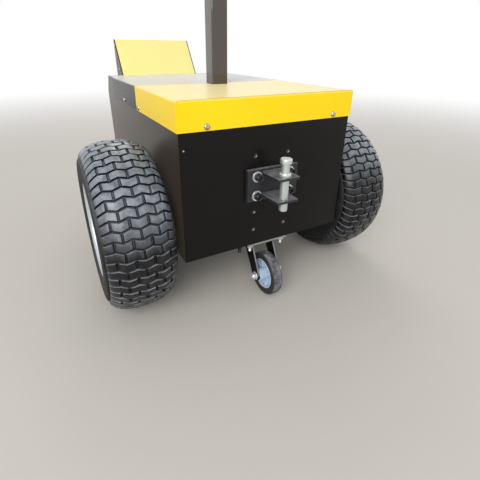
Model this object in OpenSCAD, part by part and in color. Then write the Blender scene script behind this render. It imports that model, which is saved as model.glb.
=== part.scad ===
// Walk-behind electric tow tug, in millimetres, +Z up.
// The hitch faces -Y and the operator walks behind the +Y end. Left is -X.
// Heights are above the ground. Lengths along Y start at the hitch face and
// are shifted at the end, so that the origin is under the middle of the tug.

/* [Body] */
// Width of the body over its side panels
body_w = 440; // [420:10:480]
// Length of the body from the hitch face to the end wall
body_len = 722; // [700:2:760]
// Height of the body from its underside to the deck
body_h = 352.5; // [335:0.5:375]
// Thickness of the side and end panels
wall_t = 3; // [2:0.5:4]
// Thickness of the floor plate
floor_t = 6; // [4:1:8]
// Length of the slope at the top of the end wall
slope_run = 39; // [30:1:48]
// Height of the slope at the top of the end wall
slope_drop = 53.5; // [40:0.5:60]

/* [Lid and deck cover] */
// Length of the lid from the hitch face
lid_len = 304; // [290:1:315]
// Height of the folded flanges
flange_h = 60; // [45:1:70]
// Thickness of the folded sheet
sheet_t = 2.5; // [1.5:0.5:3.5]
// Outer radius of the folds
fold_r = 4; // [2:0.5:5]
// Open joint between the lid and the deck cover
joint_gap = 1; // [0.5:0.5:2]
// Length of plain side panel between the deck cover's flanges and the slope
flange_stop = 83; // [60:1:110]

/* [Drive wheels] */
// Outer diameter of the tyre
tyre_d = 406; // [396:1:416]
// Section width of the tyre
tyre_w = 160; // [150:1:170]
// Fullness of the tyre's section: 2 is an ellipse, more is squarer
tyre_full = 2.5; // [2:0.1:3]
// Space between the tyre and the side panel
tyre_gap = 14; // [10:1:20]
// Width of the tread's blocks across the tyre
block_w = 36.5; // [30:0.5:40]
// Width of the tread's grooves
groove_w = 3.6; // [3:0.1:5]
// Depth of the tread's grooves
groove_depth = 5; // [3:0.5:7]
// Axle line from the hitch face
axle_y = 163; // [155:1:170]
// Height of the axle over the body's underside
axle_rise = 48; // [40:1:60]
// Bead seat diameter of the rim
rim_d = 203; // [195:1:210]
// Width of the rim between its flanges
rim_w = 137; // [125:1:142]
// Height of the rim flanges over the bead seat
rim_lip = 12.5; // [8:0.5:15]
// Depth of the rim's well below the bead seat
rim_well = 13; // [8:1:16]
// Plate thickness of the rim
rim_t = 3; // [2:0.5:4]
// Diameter of the drive shaft
shaft_d = 30; // [25:1:35]
// Diameter of the hub flange
hub_d = 130; // [120:1:140]
// Pitch circle of the wheel studs
stud_pcd = 101.6; // [98:0.1:104]

/* [Hitch] */
// Thickness of the hitch panel
hitch_t = 10; // [8:1:12]
// Distance between the two columns of tapped holes
grid_w = 88; // [80:1:100]
// Distance between the rows of tapped holes
grid_pitch = 46; // [44:0.5:48]
// Depth of the top row of tapped holes below the deck
grid_drop = 126; // [115:0.5:135]
// Core diameter of the tapped holes
tap_d = 10.2; // [8.5:0.1:10.5]
// Width of the hitch plate
plate_w = 136; // [130:1:144]
// Height of the hitch plate
plate_h = 76; // [74:1:80]
// Thickness of the hitch plate
plate_t = 10; // [8:1:12]
// Reach of the shelves in front of the hitch face
shelf_reach = 71; // [66:1:78]
// Width of the shelves at the hitch plate
shelf_root_w = 62; // [56:1:62]
// Width of the shelves at their front edge
shelf_tip_w = 55; // [45:1:56]
// Thickness of the shelves
shelf_t = 6; // [5:1:8]
// Clear height between the shelves
shelf_gap = 47; // [42:1:48]
// Diameter of the hitch pin
pin_d = 20; // [16:1:22]
// Distance of the pin's axis in front of the hitch face
pin_reach = 54; // [48:1:56]
// Length of the pin below the lower shelf
pin_tail = 25; // [15:1:35]
// Diameter of the pin's head and collar
pin_head_d = 27; // [25:1:30]

/* [Casters] */
// Space between the caster tyre and the fork's crown
caster_clear = 20.7; // [14:0.1:26]
// Width of the caster tyre
caster_tyre_w = 32; // [28:1:40]
// Share of the caster wheel's diameter that its hub takes
caster_hub_part = 0.69; // [0.64:0.01:0.74]
// Distance of the wheel axle from the swivel axis
caster_trail = 43; // [38:1:50]
// Width of the caster plate across the tug
caster_plate_w = 114; // [112:1:122]
// Length of the caster plate along the tug
caster_plate_l = 84; // [84:1:94]
// Thickness of the caster plate
caster_plate_t = 5; // [4:1:6]
// Height of the swivel race under the plate
caster_race_h = 7; // [6:1:9]
// Clear width inside the fork
fork_w = 56; // [56:1:60]
// Thickness of the fork
fork_t = 5; // [4:1:6]
// Diameter of the caster axle bolt
caster_bolt_d = 12; // [10:1:12]

/* [Mast and handlebar] */
// Width of the square mast
mast_w = 45; // [40:1:48]
// Wall of the mast tube
mast_wall = 2.5; // [2:0.5:4]
// Distance of the mast's middle in front of the lid's rear edge
mast_inset = 19; // [12:1:22]
// Height of the mast over the deck, where the arm joins it
mast_h = 227.5; // [180:0.5:270]
// Length of the arm
arm_len = 400; // [360:5:430]
// Slope of the arm above the level
arm_angle = 38; // [30:1:45]
// Diameter of the handlebar
bar_d = 25; // [22:1:28]
// Width of the handlebar between its two bends
bar_span = 330; // [300:5:360]
// Bend of the handlebar ends towards the operator
bar_bend = 25; // [15:1:35]
// Length of the handlebar ends after the bends
bar_end = 135; // [130:1:150]
// Diameter of the grips
grip_d = 33; // [30:1:36]
// Length of the grips
grip_len = 120; // [100:1:125]

/* [Console] */
// Left side of the console from the middle of the tug
console_left = 176; // [160:1:200]
// Right side of the console from the middle of the tug
console_right = 92; // [80:1:150]
// Length of flat deck under the console
console_seat = 23; // [15:1:35]
// Height of the console over the deck
console_h = 112; // [80:1:114]
// Slope of the console's cover above the level
console_angle = 55; // [52:1:70]
// Reach of the console past the end wall
console_reach = 26; // [24:1:40]
// Drop of the console below the deck
console_drop = 92; // [80:1:110]
// Diameter of the charge gauge
gauge_d = 52; // [48:1:56]
// Diameter of the charging socket
socket_d = 40; // [36:1:44]
// Diameter of the key switch
key_d = 22; // [20:1:25]

/* [Battery and drive unit] */
// Length of the battery block along the tug
battery_l = 300; // [260:5:320]
// Width of the battery block
battery_w = 330; // [300:5:360]
// Height of the battery block
battery_h = 215; // [180:5:240]
// Width of the drive unit across the tug
drive_w = 300; // [260:5:330]
// Length of the drive unit in front of the axle
drive_front = 75; // [65:5:80]
// Height of the drive unit
drive_h = 160; // [130:5:180]

/* [Hidden] */
$fn = 72;

LEFT = -1;
RIGHT = 1;

// Clearances
run_fit = 0.05;
slide_fit = 0.1;
seat_gap = 0.3;

// Body: its underside lies on the casters' plates, so it follows the axle
axle_z = tyre_d / 2;
floor_z = axle_z - axle_rise;
deck_z = floor_z + body_h;
floor_top = floor_z + floor_t;
deck_under = deck_z - sheet_t;
slope_z = deck_z - slope_drop;
slope_y = body_len - slope_run;
half_w = body_w / 2;
inner_w = half_w - wall_t;

flange_end = slope_y - flange_stop;

// Drive wheels
wheel_x = half_w + tyre_gap + tyre_w / 2;
belt_drop = tyre_w / 3;
tyre_belt = tyre_d / 2 - belt_drop;
bead_tuck = tyre_belt - rim_d / 2 + rim_lip + 8;
crown_steps = 5;
tread_rows = 30;
tread_turn = 7.6;
disc_at = 24;
disc_t = 5;
hub_flange_t = 12;
hub_boss_r = hub_d / 4;
hub_boss_l = 22;
stud_count = 5;
stud_r = 7;
vent_count = 5;
vent_r = 9;
vent_inset = 11;
well_half = 12;
well_flank = 10;
bearing_flange_d = 104;
bearing_flange_t = 8;
bearing_boss_d = 60;
bearing_in = 30;
bearing_out = 20;
shaft_short = 5;

// Hitch
grid_rows = 5;
hitch_rows = [1, 2];
grid_top_z = deck_z - grid_drop;
plate_lift = 1.5;
shelf_lift = 9;
hitch_plate_top = grid_top_z - hitch_rows[0] * grid_pitch + (plate_h - grid_pitch) / 2 + plate_lift;
hitch_plate_low = hitch_plate_top - plate_h;
shelf_low_z = hitch_plate_low + shelf_lift;
shelf_up_z = shelf_low_z + shelf_t + shelf_gap;
pin_seat_z = shelf_up_z + shelf_t;
pin_collar_h = 6.5;
pin_neck_h = 22.5;
pin_head_h = 11;
pin_relief = 1.3;
pin_neck_d = pin_d - pin_relief;
collar_chamfer = 1;
head_chamfer = 2;
pin_chamfer = 3;
bolt_head_r = 9;
bolt_head_h = 12;
bolt_socket_r = 5.8;
bolt_socket_depth = 6;
washer_r = 12.5;
washer_t = 2.5;
bolt_hole_extra = 1;
bolt_short = 1;

// Casters
front_swivel_y = caster_plate_l / 2;
rear_swivel_y = body_len - hitch_t - caster_plate_l / 2;
race_r = 34;
race_z = floor_z - caster_plate_t - caster_race_h;
crown_top = race_z - seat_gap;
crown_t = fork_t + 1;
crown_z = crown_top - crown_t;
crown_l = 44;
caster_r = (crown_z - caster_clear) / 2;
caster_hub_d = caster_hub_part * 2 * caster_r;
fork_half = fork_w / 2;
fork_out = fork_half + fork_t;
kingpin_r = 8;
kingpin_end = 0.5;
leg_eye_r = 14;
leg_front_rise = 4;
leg_back_drop = 9;
leg_front_set = 2;
leg_back_set = 3;
caster_nut_r = 9.8;
caster_nut_t = 9;
hub_web_w = 28;
hub_boss_d = 34;
hub_end_gap = 0.5;
bolt_tip = 3;
tread_round = 5;
caster_edge_w = 11;
caster_edge_l = 10;
caster_hole_w = caster_plate_w - 2 * caster_edge_w;
caster_hole_l = caster_plate_l - 2 * caster_edge_l;
caster_hole_r = 5.5;

// Mast and handlebar
mast_y = lid_len - mast_inset;
mast_top_z = deck_z + mast_h;
arm_y = mast_y + arm_len * cos(arm_angle);
arm_z = mast_top_z + arm_len * sin(arm_angle);
clamp_w = 64;
clamp_l = 50;
bar_at = clamp_l / 2;
bar_bead = 1;
grip_cap = 5;
head_w = 130;
head_l = 62;
head_h = 38;
stop_base_r = 15;
stop_base_h = 8;
stop_cap_r = 20;
stop_cap_h = 12;

// Console
console_y = slope_y - console_seat;
console_back = body_len + console_reach;
console_top = deck_z + console_h;
console_foot = deck_z - console_drop;
console_run = console_h / tan(console_angle);
console_mid = (console_right - console_left) / 2;
dial_apart = 50;
dial_rise = 52;
socket_sink = 40;
gauge_x = console_mid + dial_apart;
key_x = console_mid - dial_apart;
gauge_z = deck_z + dial_rise;
socket_z = deck_z - socket_sink;
gauge_rim = 3;
key_rim = 4;
socket_rim = 5;
dial_depth = 14;
gauge_proud = 4;
key_proud = 6;
socket_proud = 8;

// Heavy pieces inside
battery_gap = 15;
drive_gap = 24.5;

// The origin lies halfway between the shelves' front edge and the charging socket's face
centre_y = (console_back + socket_proud - shelf_reach) / 2;

// Shapes

// Moves the tug's own lengths so that the origin is under its middle
module placed() translate([0, -centre_y, 0]) children();

// Box between two opposite corners
module block(low, high) translate(low) cube(high - low);

// Outline drawn in Y and Z, carried along X
module along_x(x0, x1) translate([x0, 0, 0]) rotate([90, 0, 90]) linear_extrude(x1 - x0) children();

// Outline drawn in X and Z, carried along Y
module along_y(y0, y1) translate([0, y1, 0]) rotate([90, 0, 0]) linear_extrude(y1 - y0) children();

// Round bar along X
module rod_x(x0, x1, y, z, r) translate([x0, y, z]) rotate([0, 90, 0]) cylinder(r = r, h = x1 - x0);

// Round bar along Y
module rod_y(y0, y1, x, z, r) translate([x, y1, z]) rotate([90, 0, 0]) cylinder(r = r, h = y1 - y0);

// Draws a right-hand piece on the side asked for
module on_side(side) mirror([side < 0 ? 1 : 0, 0, 0]) children();

// Wheel frame: its Z runs outwards along the axle, from the middle of the tyre
module on_wheel(side) placed() on_side(side) translate([wheel_x, axle_y, axle_z]) rotate([0, 90, 0]) children();

// Ring of places on a circle
module around(count, pcd) for (i = [0 : count - 1]) rotate([0, 0, i * 360 / count]) translate([pcd / 2, 0, 0]) children();

// Body panels

// Side view of the body, with its slope at the operator's end
module body_outline(start, drop) polygon([
    [start, floor_z], [body_len, floor_z], [body_len, slope_z],
    [slope_y + drop * slope_run / slope_drop, deck_z - drop], [start, deck_z - drop]
]);

module floor_plate() color("#262422") placed()
    block([-inner_w, hitch_t, floor_z], [inner_w, body_len - wall_t, floor_top]);

// Height of a row of tapped holes, counted from the top
function row_z(row) = grid_top_z - row * grid_pitch;

module hitch_panel() color("#1c1b1a") placed() difference() {
    block([-half_w, 0, floor_z], [half_w, hitch_t, deck_under]);
    for (side = [LEFT, RIGHT], row = [0 : grid_rows - 1])
        rod_y(-1, hitch_t + 1, side * grid_w / 2, row_z(row), tap_d / 2);
}

module side_panel(side) color("#1c1b1a") placed() on_side(side) difference() {
    along_x(inner_w, half_w) difference() {
        body_outline(hitch_t, sheet_t);
        translate([axle_y, axle_z]) circle(r = bearing_boss_d / 2 + seat_gap);
    }
}

module end_panel() color("#1c1b1a") placed() {
    slope_len = norm([slope_run, slope_drop]);
    mitre = wall_t * (slope_len - slope_run) / slope_drop;
    inside_z = slope_z - mitre;
    run_per_rise = slope_run / slope_drop;
    along_x(-inner_w, inner_w) polygon([
        [body_len, floor_z], [body_len, slope_z],
        [slope_y + sheet_t * run_per_rise, deck_under],
        [body_len - wall_t - (deck_under - inside_z) * run_per_rise, deck_under],
        [body_len - wall_t, inside_z], [body_len - wall_t, floor_z]
    ]);
}

// Lid and deck cover

// Section of a folded sheet, round at the top corners named
module fold_outline(x0, x1, z0, round_low, round_high) {
    left = round_low ? fold_r : 0;
    right = round_high ? fold_r : 0;
    translate([x0, z0]) square([x1 - x0, deck_z - fold_r - z0]);
    translate([x0 + left, z0]) square([x1 - x0 - left - right, deck_z - z0]);
    if (round_low) translate([x0 + fold_r, deck_z - fold_r]) circle(r = fold_r);
    if (round_high) translate([x1 - fold_r, deck_z - fold_r]) circle(r = fold_r);
}

// Slot that the mast stands in, with a little air around it
module mast_slot() {
    half = mast_w / 2 + joint_gap;
    block([-half, mast_y - half, floor_z], [half, mast_y + half, deck_z + 1]);
}

module lid() color("#ffcf1c") placed() difference() {
    intersection() {
        along_y(-sheet_t, lid_len) fold_outline(-half_w - sheet_t, half_w + sheet_t, deck_z - flange_h, true, true);
        along_x(-half_w - sheet_t, half_w + sheet_t)
            fold_outline(-sheet_t, lid_len, deck_z - flange_h, true, false);
    }
    block([-half_w, 0, floor_z], [half_w, lid_len + 1, deck_under]);
    mast_slot();
}

module deck_cover() color("#161514") placed() difference() {
    union() {
        along_y(lid_len + joint_gap, flange_end)
            fold_outline(-half_w - sheet_t, half_w + sheet_t, deck_z - flange_h, true, true);
        block([-half_w, flange_end, deck_under], [half_w, slope_y, deck_z]);
    }
    block([-half_w, lid_len, floor_z], [half_w, flange_end + 1, deck_under]);
    mast_slot();
}

// Heavy pieces inside

module battery() color("#3a3c40") placed() {
    start = mast_y + mast_w / 2 + battery_gap;
    block([-battery_w / 2, start, floor_top], [battery_w / 2, start + battery_l, floor_top + battery_h]);
}

module drive_unit() color("#55585a") placed() {
    end = mast_y - mast_w / 2 - drive_gap;
    block([-drive_w / 2, axle_y - drive_front, floor_top], [drive_w / 2, end, floor_top + drive_h]);
}

// Drive wheels

module bearing(side) color("#4a4a4a") placed() on_side(side) difference() {
    union() {
        rod_x(half_w, half_w + bearing_flange_t, axle_y, axle_z, bearing_flange_d / 2);
        rod_x(half_w - bearing_in, half_w + bearing_out, axle_y, axle_z, bearing_boss_d / 2);
    }
    rod_x(half_w - bearing_in - 1, half_w + bearing_out + 1, axle_y, axle_z, shaft_d / 2 + run_fit);
}

module hub(side) color("#8d8f90") on_wheel(side) {
    shaft_start = half_w - bearing_in - shaft_short - wheel_x;
    translate([0, 0, shaft_start]) cylinder(d = shaft_d, h = disc_at - hub_flange_t - shaft_start);
    translate([0, 0, disc_at - hub_flange_t]) cylinder(d = hub_d, h = hub_flange_t);
    translate([0, 0, disc_at]) cylinder(r = hub_boss_r, h = hub_boss_l);
}

// Section of the rim: radius across, wheel axis up
module rim_section() {
    seat = rim_d / 2;
    lip = seat + rim_lip;
    well = seat - rim_well;
    edge = rim_w / 2;
    flank = well_half + well_flank;
    polygon([
        [lip, -edge - rim_t], [lip, -edge], [seat, -edge], [seat, -flank], [well, -well_half],
        [well, well_half], [seat, flank], [seat, edge], [lip, edge], [lip, edge + rim_t],
        [seat - rim_t, edge + rim_t], [seat - rim_t, flank + rim_t / 2], [well - rim_t, well_half],
        [well - rim_t, -well_half], [seat - rim_t, -flank - rim_t / 2], [seat - rim_t, -edge - rim_t]
    ]);
}

module rim(side) color("#b9bcbd") on_wheel(side) {
    rotate_extrude() rim_section();
    translate([0, 0, disc_at]) difference() {
        cylinder(r = rim_d / 2 - rim_t / 2, h = disc_t);
        translate([0, 0, -1]) cylinder(r = hub_boss_r + seat_gap, h = disc_t + 2);
        translate([0, 0, -1]) around(stud_count, stud_pcd) cylinder(r = stud_r, h = disc_t + 2);
        translate([0, 0, -1]) rotate([0, 0, 180 / vent_count])
            around(vent_count, rim_d - 2 * rim_t - 2 * vent_inset) cylinder(r = vent_r, h = disc_t + 2);
    }
}

// Point of the tyre's outer skin: 0 degrees at its widest line, 90 at the crown
function skin(t) =
    let (high = t < 0 ? bead_tuck : belt_drop)
    [tyre_belt + sign(t) * high * pow(abs(sin(t)), 2 / tyre_full), tyre_w / 2 * pow(abs(cos(t)), 2 / tyre_full)];

// Radius of the skin over the belt, at a place across the tyre
function skin_r(x) = tyre_belt + belt_drop * pow(1 - pow(abs(x) * 2 / tyre_w, tyre_full), 1 / tyre_full);

module tyre_section() {
    seat = rim_d / 2 + seat_gap;
    lip = rim_d / 2 + rim_lip + seat_gap;
    bead = rim_w / 2 - seat_gap;
    low = -asin(pow((tyre_belt - lip) / bead_tuck, tyre_full / 2));
    angles = concat([low, low / 2], [for (i = [0 : crown_steps]) i * 90 / crown_steps]);
    side = [for (t = angles) skin(t)];
    upper = concat([[seat, bead], [lip, bead]], side);
    lower = [for (i = [len(upper) - 2 : -1 : 0]) [upper[i][0], -upper[i][1]]];
    polygon(concat(upper, lower));
}

// Floor of a groove across the tread: share of the half width, share of the depth there
CROSS_FLOOR = [[-0.95, 0], [-0.72, 1], [-0.45, 1], [0, 1], [0.45, 1], [0.72, 1], [0.95, 0]];

module cross_groove() {
    half = tyre_w / 2;
    floor_line = [for (at = CROSS_FLOOR) [skin_r(at[0] * half) - at[1] * groove_depth, at[0] * half]];
    translate([0, groove_w / 2, 0]) rotate([90, 0, 0]) linear_extrude(groove_w)
        polygon(concat(floor_line, [[tyre_d / 2 + 1, half], [tyre_d / 2 + 1, -half]]));
}

// Grooves along the tread between two cross grooves, staggered from row to row
module long_grooves(row) {
    row_len = tyre_d * sin(180 / tread_rows);
    count = row % 2 == 0 ? 4 : 3;
    for (i = [0 : count - 1]) {
        x = (i - (count - 1) / 2) * block_w;
        floor_r = skin_r(x) - groove_depth;
        translate([floor_r, -row_len / 2, x - groove_w / 2]) cube([tyre_d / 2 + 1 - floor_r, row_len, groove_w]);
    }
}

module tyre(side) color("#2b2a29") on_wheel(side) difference() {
    rotate_extrude($fn = 96) tyre_section();
    for (row = [0 : tread_rows - 1]) rotate([0, 0, tread_turn + row * 360 / tread_rows]) {
        cross_groove();
        rotate([0, 0, 180 / tread_rows]) long_grooves(row);
    }
}

// Hitch

module hitch_plate() color("#2a2a2b") placed() difference() {
    block([-plate_w / 2, -plate_t, hitch_plate_low], [plate_w / 2, 0, hitch_plate_top]);
    for (side = [LEFT, RIGHT], row = hitch_rows)
        rod_y(-plate_t - 1, 1, side * grid_w / 2, row_z(row), tap_d / 2 + bolt_hole_extra);
}

module hitch_shelf(z) color("#3b3b3c") placed() difference() {
    translate([0, 0, z]) linear_extrude(shelf_t) polygon([
        [-shelf_root_w / 2, -plate_t], [shelf_root_w / 2, -plate_t],
        [shelf_tip_w / 2, -shelf_reach], [-shelf_tip_w / 2, -shelf_reach]
    ]);
    translate([0, -pin_reach, z - 1]) cylinder(r = pin_d / 2 + slide_fit, h = shelf_t + 2);
}

module hitch_bolts() color("#202022") placed()
    for (side = [LEFT, RIGHT], row = hitch_rows) translate([side * grid_w / 2, -plate_t, row_z(row)]) {
        rod_y(-washer_t, 0, 0, 0, washer_r);
        rod_y(0, plate_t + hitch_t - bolt_short, 0, 0, tap_d / 2 - run_fit);
        difference() {
            rod_y(-washer_t - bolt_head_h, -washer_t, 0, 0, bolt_head_r);
            translate([0, bolt_socket_depth - washer_t - bolt_head_h, 0]) rotate([90, 30, 0])
                cylinder(r = bolt_socket_r, h = bolt_socket_depth + 1, $fn = 6);
        }
    }

module hitch_pin() color("#d9dcdd") placed() translate([0, -pin_reach, 0]) {
    tail_z = shelf_low_z - pin_tail;
    neck_z = pin_seat_z + pin_collar_h;
    head_z = neck_z + pin_neck_h;
    head_r = pin_head_d / 2;
    rotate_extrude() polygon([
        [0, tail_z], [pin_d / 2 - pin_chamfer, tail_z], [pin_d / 2, tail_z + pin_chamfer],
        [pin_d / 2, pin_seat_z], [head_r, pin_seat_z],
        [head_r, neck_z - collar_chamfer], [head_r - collar_chamfer, neck_z],
        [pin_neck_d / 2, neck_z], [pin_neck_d / 2, head_z], [head_r, head_z],
        [head_r, head_z + pin_head_h - head_chamfer], [head_r - head_chamfer, head_z + pin_head_h],
        [0, head_z + pin_head_h]
    ]);
}

// Casters: each is drawn about its swivel axis, with the wheel towards the hitch

module caster_at(y) placed() translate([0, y, 0]) children();

module caster_plate(y) color("#a9acae") caster_at(y) difference() {
    union() {
        translate([-caster_plate_w / 2, -caster_plate_l / 2, floor_z - caster_plate_t])
            cube([caster_plate_w, caster_plate_l, caster_plate_t]);
        translate([0, 0, race_z]) cylinder(r = race_r, h = caster_race_h);
    }
    translate([0, 0, race_z - 1]) cylinder(r = kingpin_r + run_fit, h = floor_z);
    for (sx = [-1, 1], sy = [-1, 1])
        translate([sx * caster_hole_w / 2, sy * caster_hole_l / 2, floor_z - caster_plate_t - 1])
            cylinder(r = caster_hole_r, h = caster_plate_t + 2);
}

// Side view of one fork leg, from the crown down to the axle eye
module leg_outline() {
    polygon([
        [crown_l / 2, crown_z], [leg_front_set - crown_l / 2, crown_z],
        [-caster_trail - leg_eye_r, caster_r + leg_front_rise],
        [leg_eye_r - leg_back_set - caster_trail, caster_r - leg_back_drop]
    ]);
    translate([-caster_trail, caster_r]) circle(r = leg_eye_r);
}

module caster_fork(y) color("#1f1f20") caster_at(y) {
    translate([-fork_out, -crown_l / 2, crown_z]) cube([2 * fork_out, crown_l, crown_top - crown_z]);
    translate([0, 0, crown_top - 1]) cylinder(r = kingpin_r, h = floor_z - kingpin_end - crown_top + 1);
    for (side = [LEFT, RIGHT]) on_side(side) along_x(fork_half, fork_out) difference() {
        leg_outline();
        translate([-caster_trail, caster_r]) circle(d = caster_bolt_d + 2 * seat_gap);
    }
}

module caster_axle(y) color("#d3d6d7") caster_at(y) {
    end = fork_out + caster_nut_t + bolt_tip;
    rod_x(-end, end, -caster_trail, caster_r, caster_bolt_d / 2);
    for (side = [LEFT, RIGHT]) on_side(side) translate([fork_out, -caster_trail, caster_r])
        rotate([0, 90, 0]) cylinder(r = caster_nut_r, h = caster_nut_t, $fn = 6);
}

module caster_hub(y) color("#a9bdce") caster_at(y) difference() {
    boss_half = fork_half - hub_end_gap;
    union() {
        rod_x(-hub_web_w / 2, hub_web_w / 2, -caster_trail, caster_r, caster_hub_d / 2);
        rod_x(-boss_half, boss_half, -caster_trail, caster_r, hub_boss_d / 2);
    }
    rod_x(-fork_w, fork_w, -caster_trail, caster_r, caster_bolt_d / 2 + run_fit);
}

module caster_tyre(y) color("#3a3836") caster_at(y) translate([0, -caster_trail, caster_r]) rotate([0, 90, 0])
    rotate_extrude() {
        half = caster_tyre_w / 2;
        inner = caster_hub_d / 2 + seat_gap;
        translate([inner, -half]) square([caster_r - inner - tread_round, caster_tyre_w]);
        translate([inner, tread_round - half]) square([caster_r - inner, caster_tyre_w - 2 * tread_round]);
        for (end = [-1, 1]) translate([caster_r - tread_round, end * (half - tread_round)]) circle(r = tread_round);
    }

// Mast and handlebar

// Half of the mitre between the mast and its arm, across half of the width
function mitre_rise(half) = half * (1 - sin(arm_angle)) / cos(arm_angle);

module mast() color("#1a1918") placed() {
    half = mast_w / 2;
    rise = mitre_rise(half);
    difference() {
        along_x(-half, half) polygon([
            [mast_y - half, floor_top], [mast_y + half, floor_top],
            [mast_y + half, mast_top_z - rise], [mast_y - half, mast_top_z + rise]
        ]);
        block([mast_wall - half, mast_y - half + mast_wall, floor_z],
              [half - mast_wall, mast_y + half - mast_wall, mast_top_z + mast_w]);
    }
}

// Arm frame: its Z runs up the arm from the mitre, its Y points down and back to the operator
module on_arm() placed() translate([0, mast_y, mast_top_z]) rotate([arm_angle - 90, 0, 0]) children();

module mast_arm() color("#1a1918") on_arm() {
    half = mast_w / 2;
    rise = mitre_rise(half);
    difference() {
        along_x(-half, half) polygon([[-half, -rise], [half, rise], [half, arm_len], [-half, arm_len]]);
        block([mast_wall - half, mast_wall - half, -mast_w], [half - mast_wall, half - mast_wall, arm_len + 1]);
    }
}

// Frame at the end of the arm
module on_arm_end() on_arm() translate([0, 0, arm_len]) children();

module handlebar_clamp() color("#1a1918") on_arm_end() difference() {
    block([-clamp_w / 2, -mast_w / 2, 0], [clamp_w / 2, mast_w / 2, clamp_l]);
    rod_x(-clamp_w, clamp_w, 0, bar_at, bar_d / 2 + slide_fit);
}

// Frame of one swept bar end: its Z runs along the end, level and back towards the operator
module on_bar_end(side) on_arm_end() on_side(side) translate([bar_span / 2, 0, bar_at])
    rotate([-arm_angle, 0, 0]) rotate([0, 90 - bar_bend, 0]) children();

module handlebar() color("#2a2a2a") {
    on_arm_end() rod_x(-bar_span / 2, bar_span / 2, 0, bar_at, bar_d / 2);
    for (side = [LEFT, RIGHT]) on_bar_end(side) {
        sphere(d = bar_d + bar_bead);
        cylinder(d = bar_d, h = bar_end);
    }
}

module grips() color("#1b1b1b") for (side = [LEFT, RIGHT]) on_bar_end(side)
    translate([0, 0, bar_end - grip_len + grip_cap]) difference() {
        cylinder(d = grip_d, h = grip_len);
        translate([0, 0, -1]) cylinder(r = bar_d / 2 + slide_fit, h = grip_len - grip_cap + 1 + seat_gap);
    }

module control_head() color("#222222") on_arm_end()
    block([-head_w / 2, -mast_w / 2 - head_h, bar_at - head_l / 2], [head_w / 2, -mast_w / 2, bar_at + head_l / 2]);

module emergency_stop() on_arm_end() translate([0, -mast_w / 2 - head_h, bar_at]) rotate([90, 0, 0]) {
    color("#f0c419") cylinder(r = stop_base_r, h = stop_base_h);
    color("#c3161c") translate([0, 0, stop_base_h]) cylinder(r = stop_cap_r, h = stop_cap_h);
}

// Console on the operator's end of the deck

// Side view of the console, which steps over the slope and hangs on the end wall
module console_outline() polygon([
    [console_y, deck_z], [console_y + console_run, console_top], [console_back, console_top],
    [console_back, console_foot], [body_len, console_foot], [body_len, slope_z], [slope_y, deck_z]
]);

module console_cheeks() color("#1c1b1a") placed() {
    along_x(-console_left, wall_t - console_left) console_outline();
    along_x(console_right - wall_t, console_right) console_outline();
}

module console_cover() color("#ffcf1c") placed() {
    drop = sheet_t / sin(console_angle);
    slant = sheet_t / tan(console_angle);
    inner_top = console_top - sheet_t;
    along_x(wall_t - console_left, console_right - wall_t) polygon([
        [console_y, deck_z], [console_y + console_run, console_top], [console_back, console_top],
        [console_back, inner_top], [console_y + console_run + drop - slant, inner_top], [console_y + drop, deck_z]
    ]);
}

// Places of the three fittings along the panel, from the operator's left
module console_hole(x, z, d) rod_y(body_len, console_back + 1, x, z, d / 2 + seat_gap);

module console_panel() color("#232221") placed() difference() {
    left = wall_t - console_left;
    right = console_right - wall_t;
    union() {
        block([left, console_back - sheet_t, console_foot], [right, console_back, console_top - sheet_t]);
        block([left, body_len, console_foot], [right, console_back, console_foot + sheet_t]);
    }
    console_hole(gauge_x, gauge_z, gauge_d);
    console_hole(key_x, gauge_z, key_d);
    console_hole(console_mid, socket_z, socket_d);
}

// Round fitting in the console panel: a body behind the panel and a wider rim in front
module dial(x, z, d, rim, proud) placed() {
    rod_y(console_back - dial_depth, console_back, x, z, d / 2);
    rod_y(console_back, console_back + proud, x, z, d / 2 + rim);
}

module charge_gauge() color("#cfd2d4") dial(gauge_x, gauge_z, gauge_d, gauge_rim, gauge_proud);

module key_switch() color("#c9ccce") dial(key_x, gauge_z, key_d, key_rim, key_proud);

module charge_socket() color("#2c2c2e") dial(console_mid, socket_z, socket_d, socket_rim, socket_proud);

floor_plate();
hitch_panel();
side_panel(LEFT);  // side_panel_left
side_panel(RIGHT);  // side_panel_right
end_panel();
lid();
deck_cover();
battery();
drive_unit();
bearing(LEFT);  // bearing_left
bearing(RIGHT);  // bearing_right
hub(LEFT);  // hub_left
hub(RIGHT);  // hub_right
rim(LEFT);  // rim_left
rim(RIGHT);  // rim_right
tyre(LEFT);  // tyre_left
tyre(RIGHT);  // tyre_right
hitch_plate();
hitch_shelf(shelf_up_z);  // hitch_shelf_upper
hitch_shelf(shelf_low_z);  // hitch_shelf_lower
hitch_bolts();
hitch_pin();
caster_plate(front_swivel_y);  // caster_plate_front
caster_fork(front_swivel_y);  // caster_fork_front
caster_axle(front_swivel_y);  // caster_axle_front
caster_hub(front_swivel_y);  // caster_hub_front
caster_tyre(front_swivel_y);  // caster_tyre_front
caster_plate(rear_swivel_y);  // caster_plate_rear
caster_fork(rear_swivel_y);  // caster_fork_rear
caster_axle(rear_swivel_y);  // caster_axle_rear
caster_hub(rear_swivel_y);  // caster_hub_rear
caster_tyre(rear_swivel_y);  // caster_tyre_rear
mast();
mast_arm();
handlebar_clamp();
handlebar();
grips();
control_head();
emergency_stop();
console_cheeks();
console_cover();
console_panel();
charge_gauge();
key_switch();
charge_socket();
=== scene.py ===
"""Walk-behind electric tow tug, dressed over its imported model.

Lengths are millimetres in the tug's own plan: X to the right, Y from the
hitch face back to the operator, Z up from the ground. Each sub-assembly is a
class that holds its sizes as fields, and its build method makes and dresses
its pieces.
"""
import logging
import math
import random
from bisect import bisect_right
from dataclasses import dataclass, replace
from enum import Enum
from typing import Iterable, Iterator, Sequence

import bmesh
import bpy
from mathutils import Matrix, Vector


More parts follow.
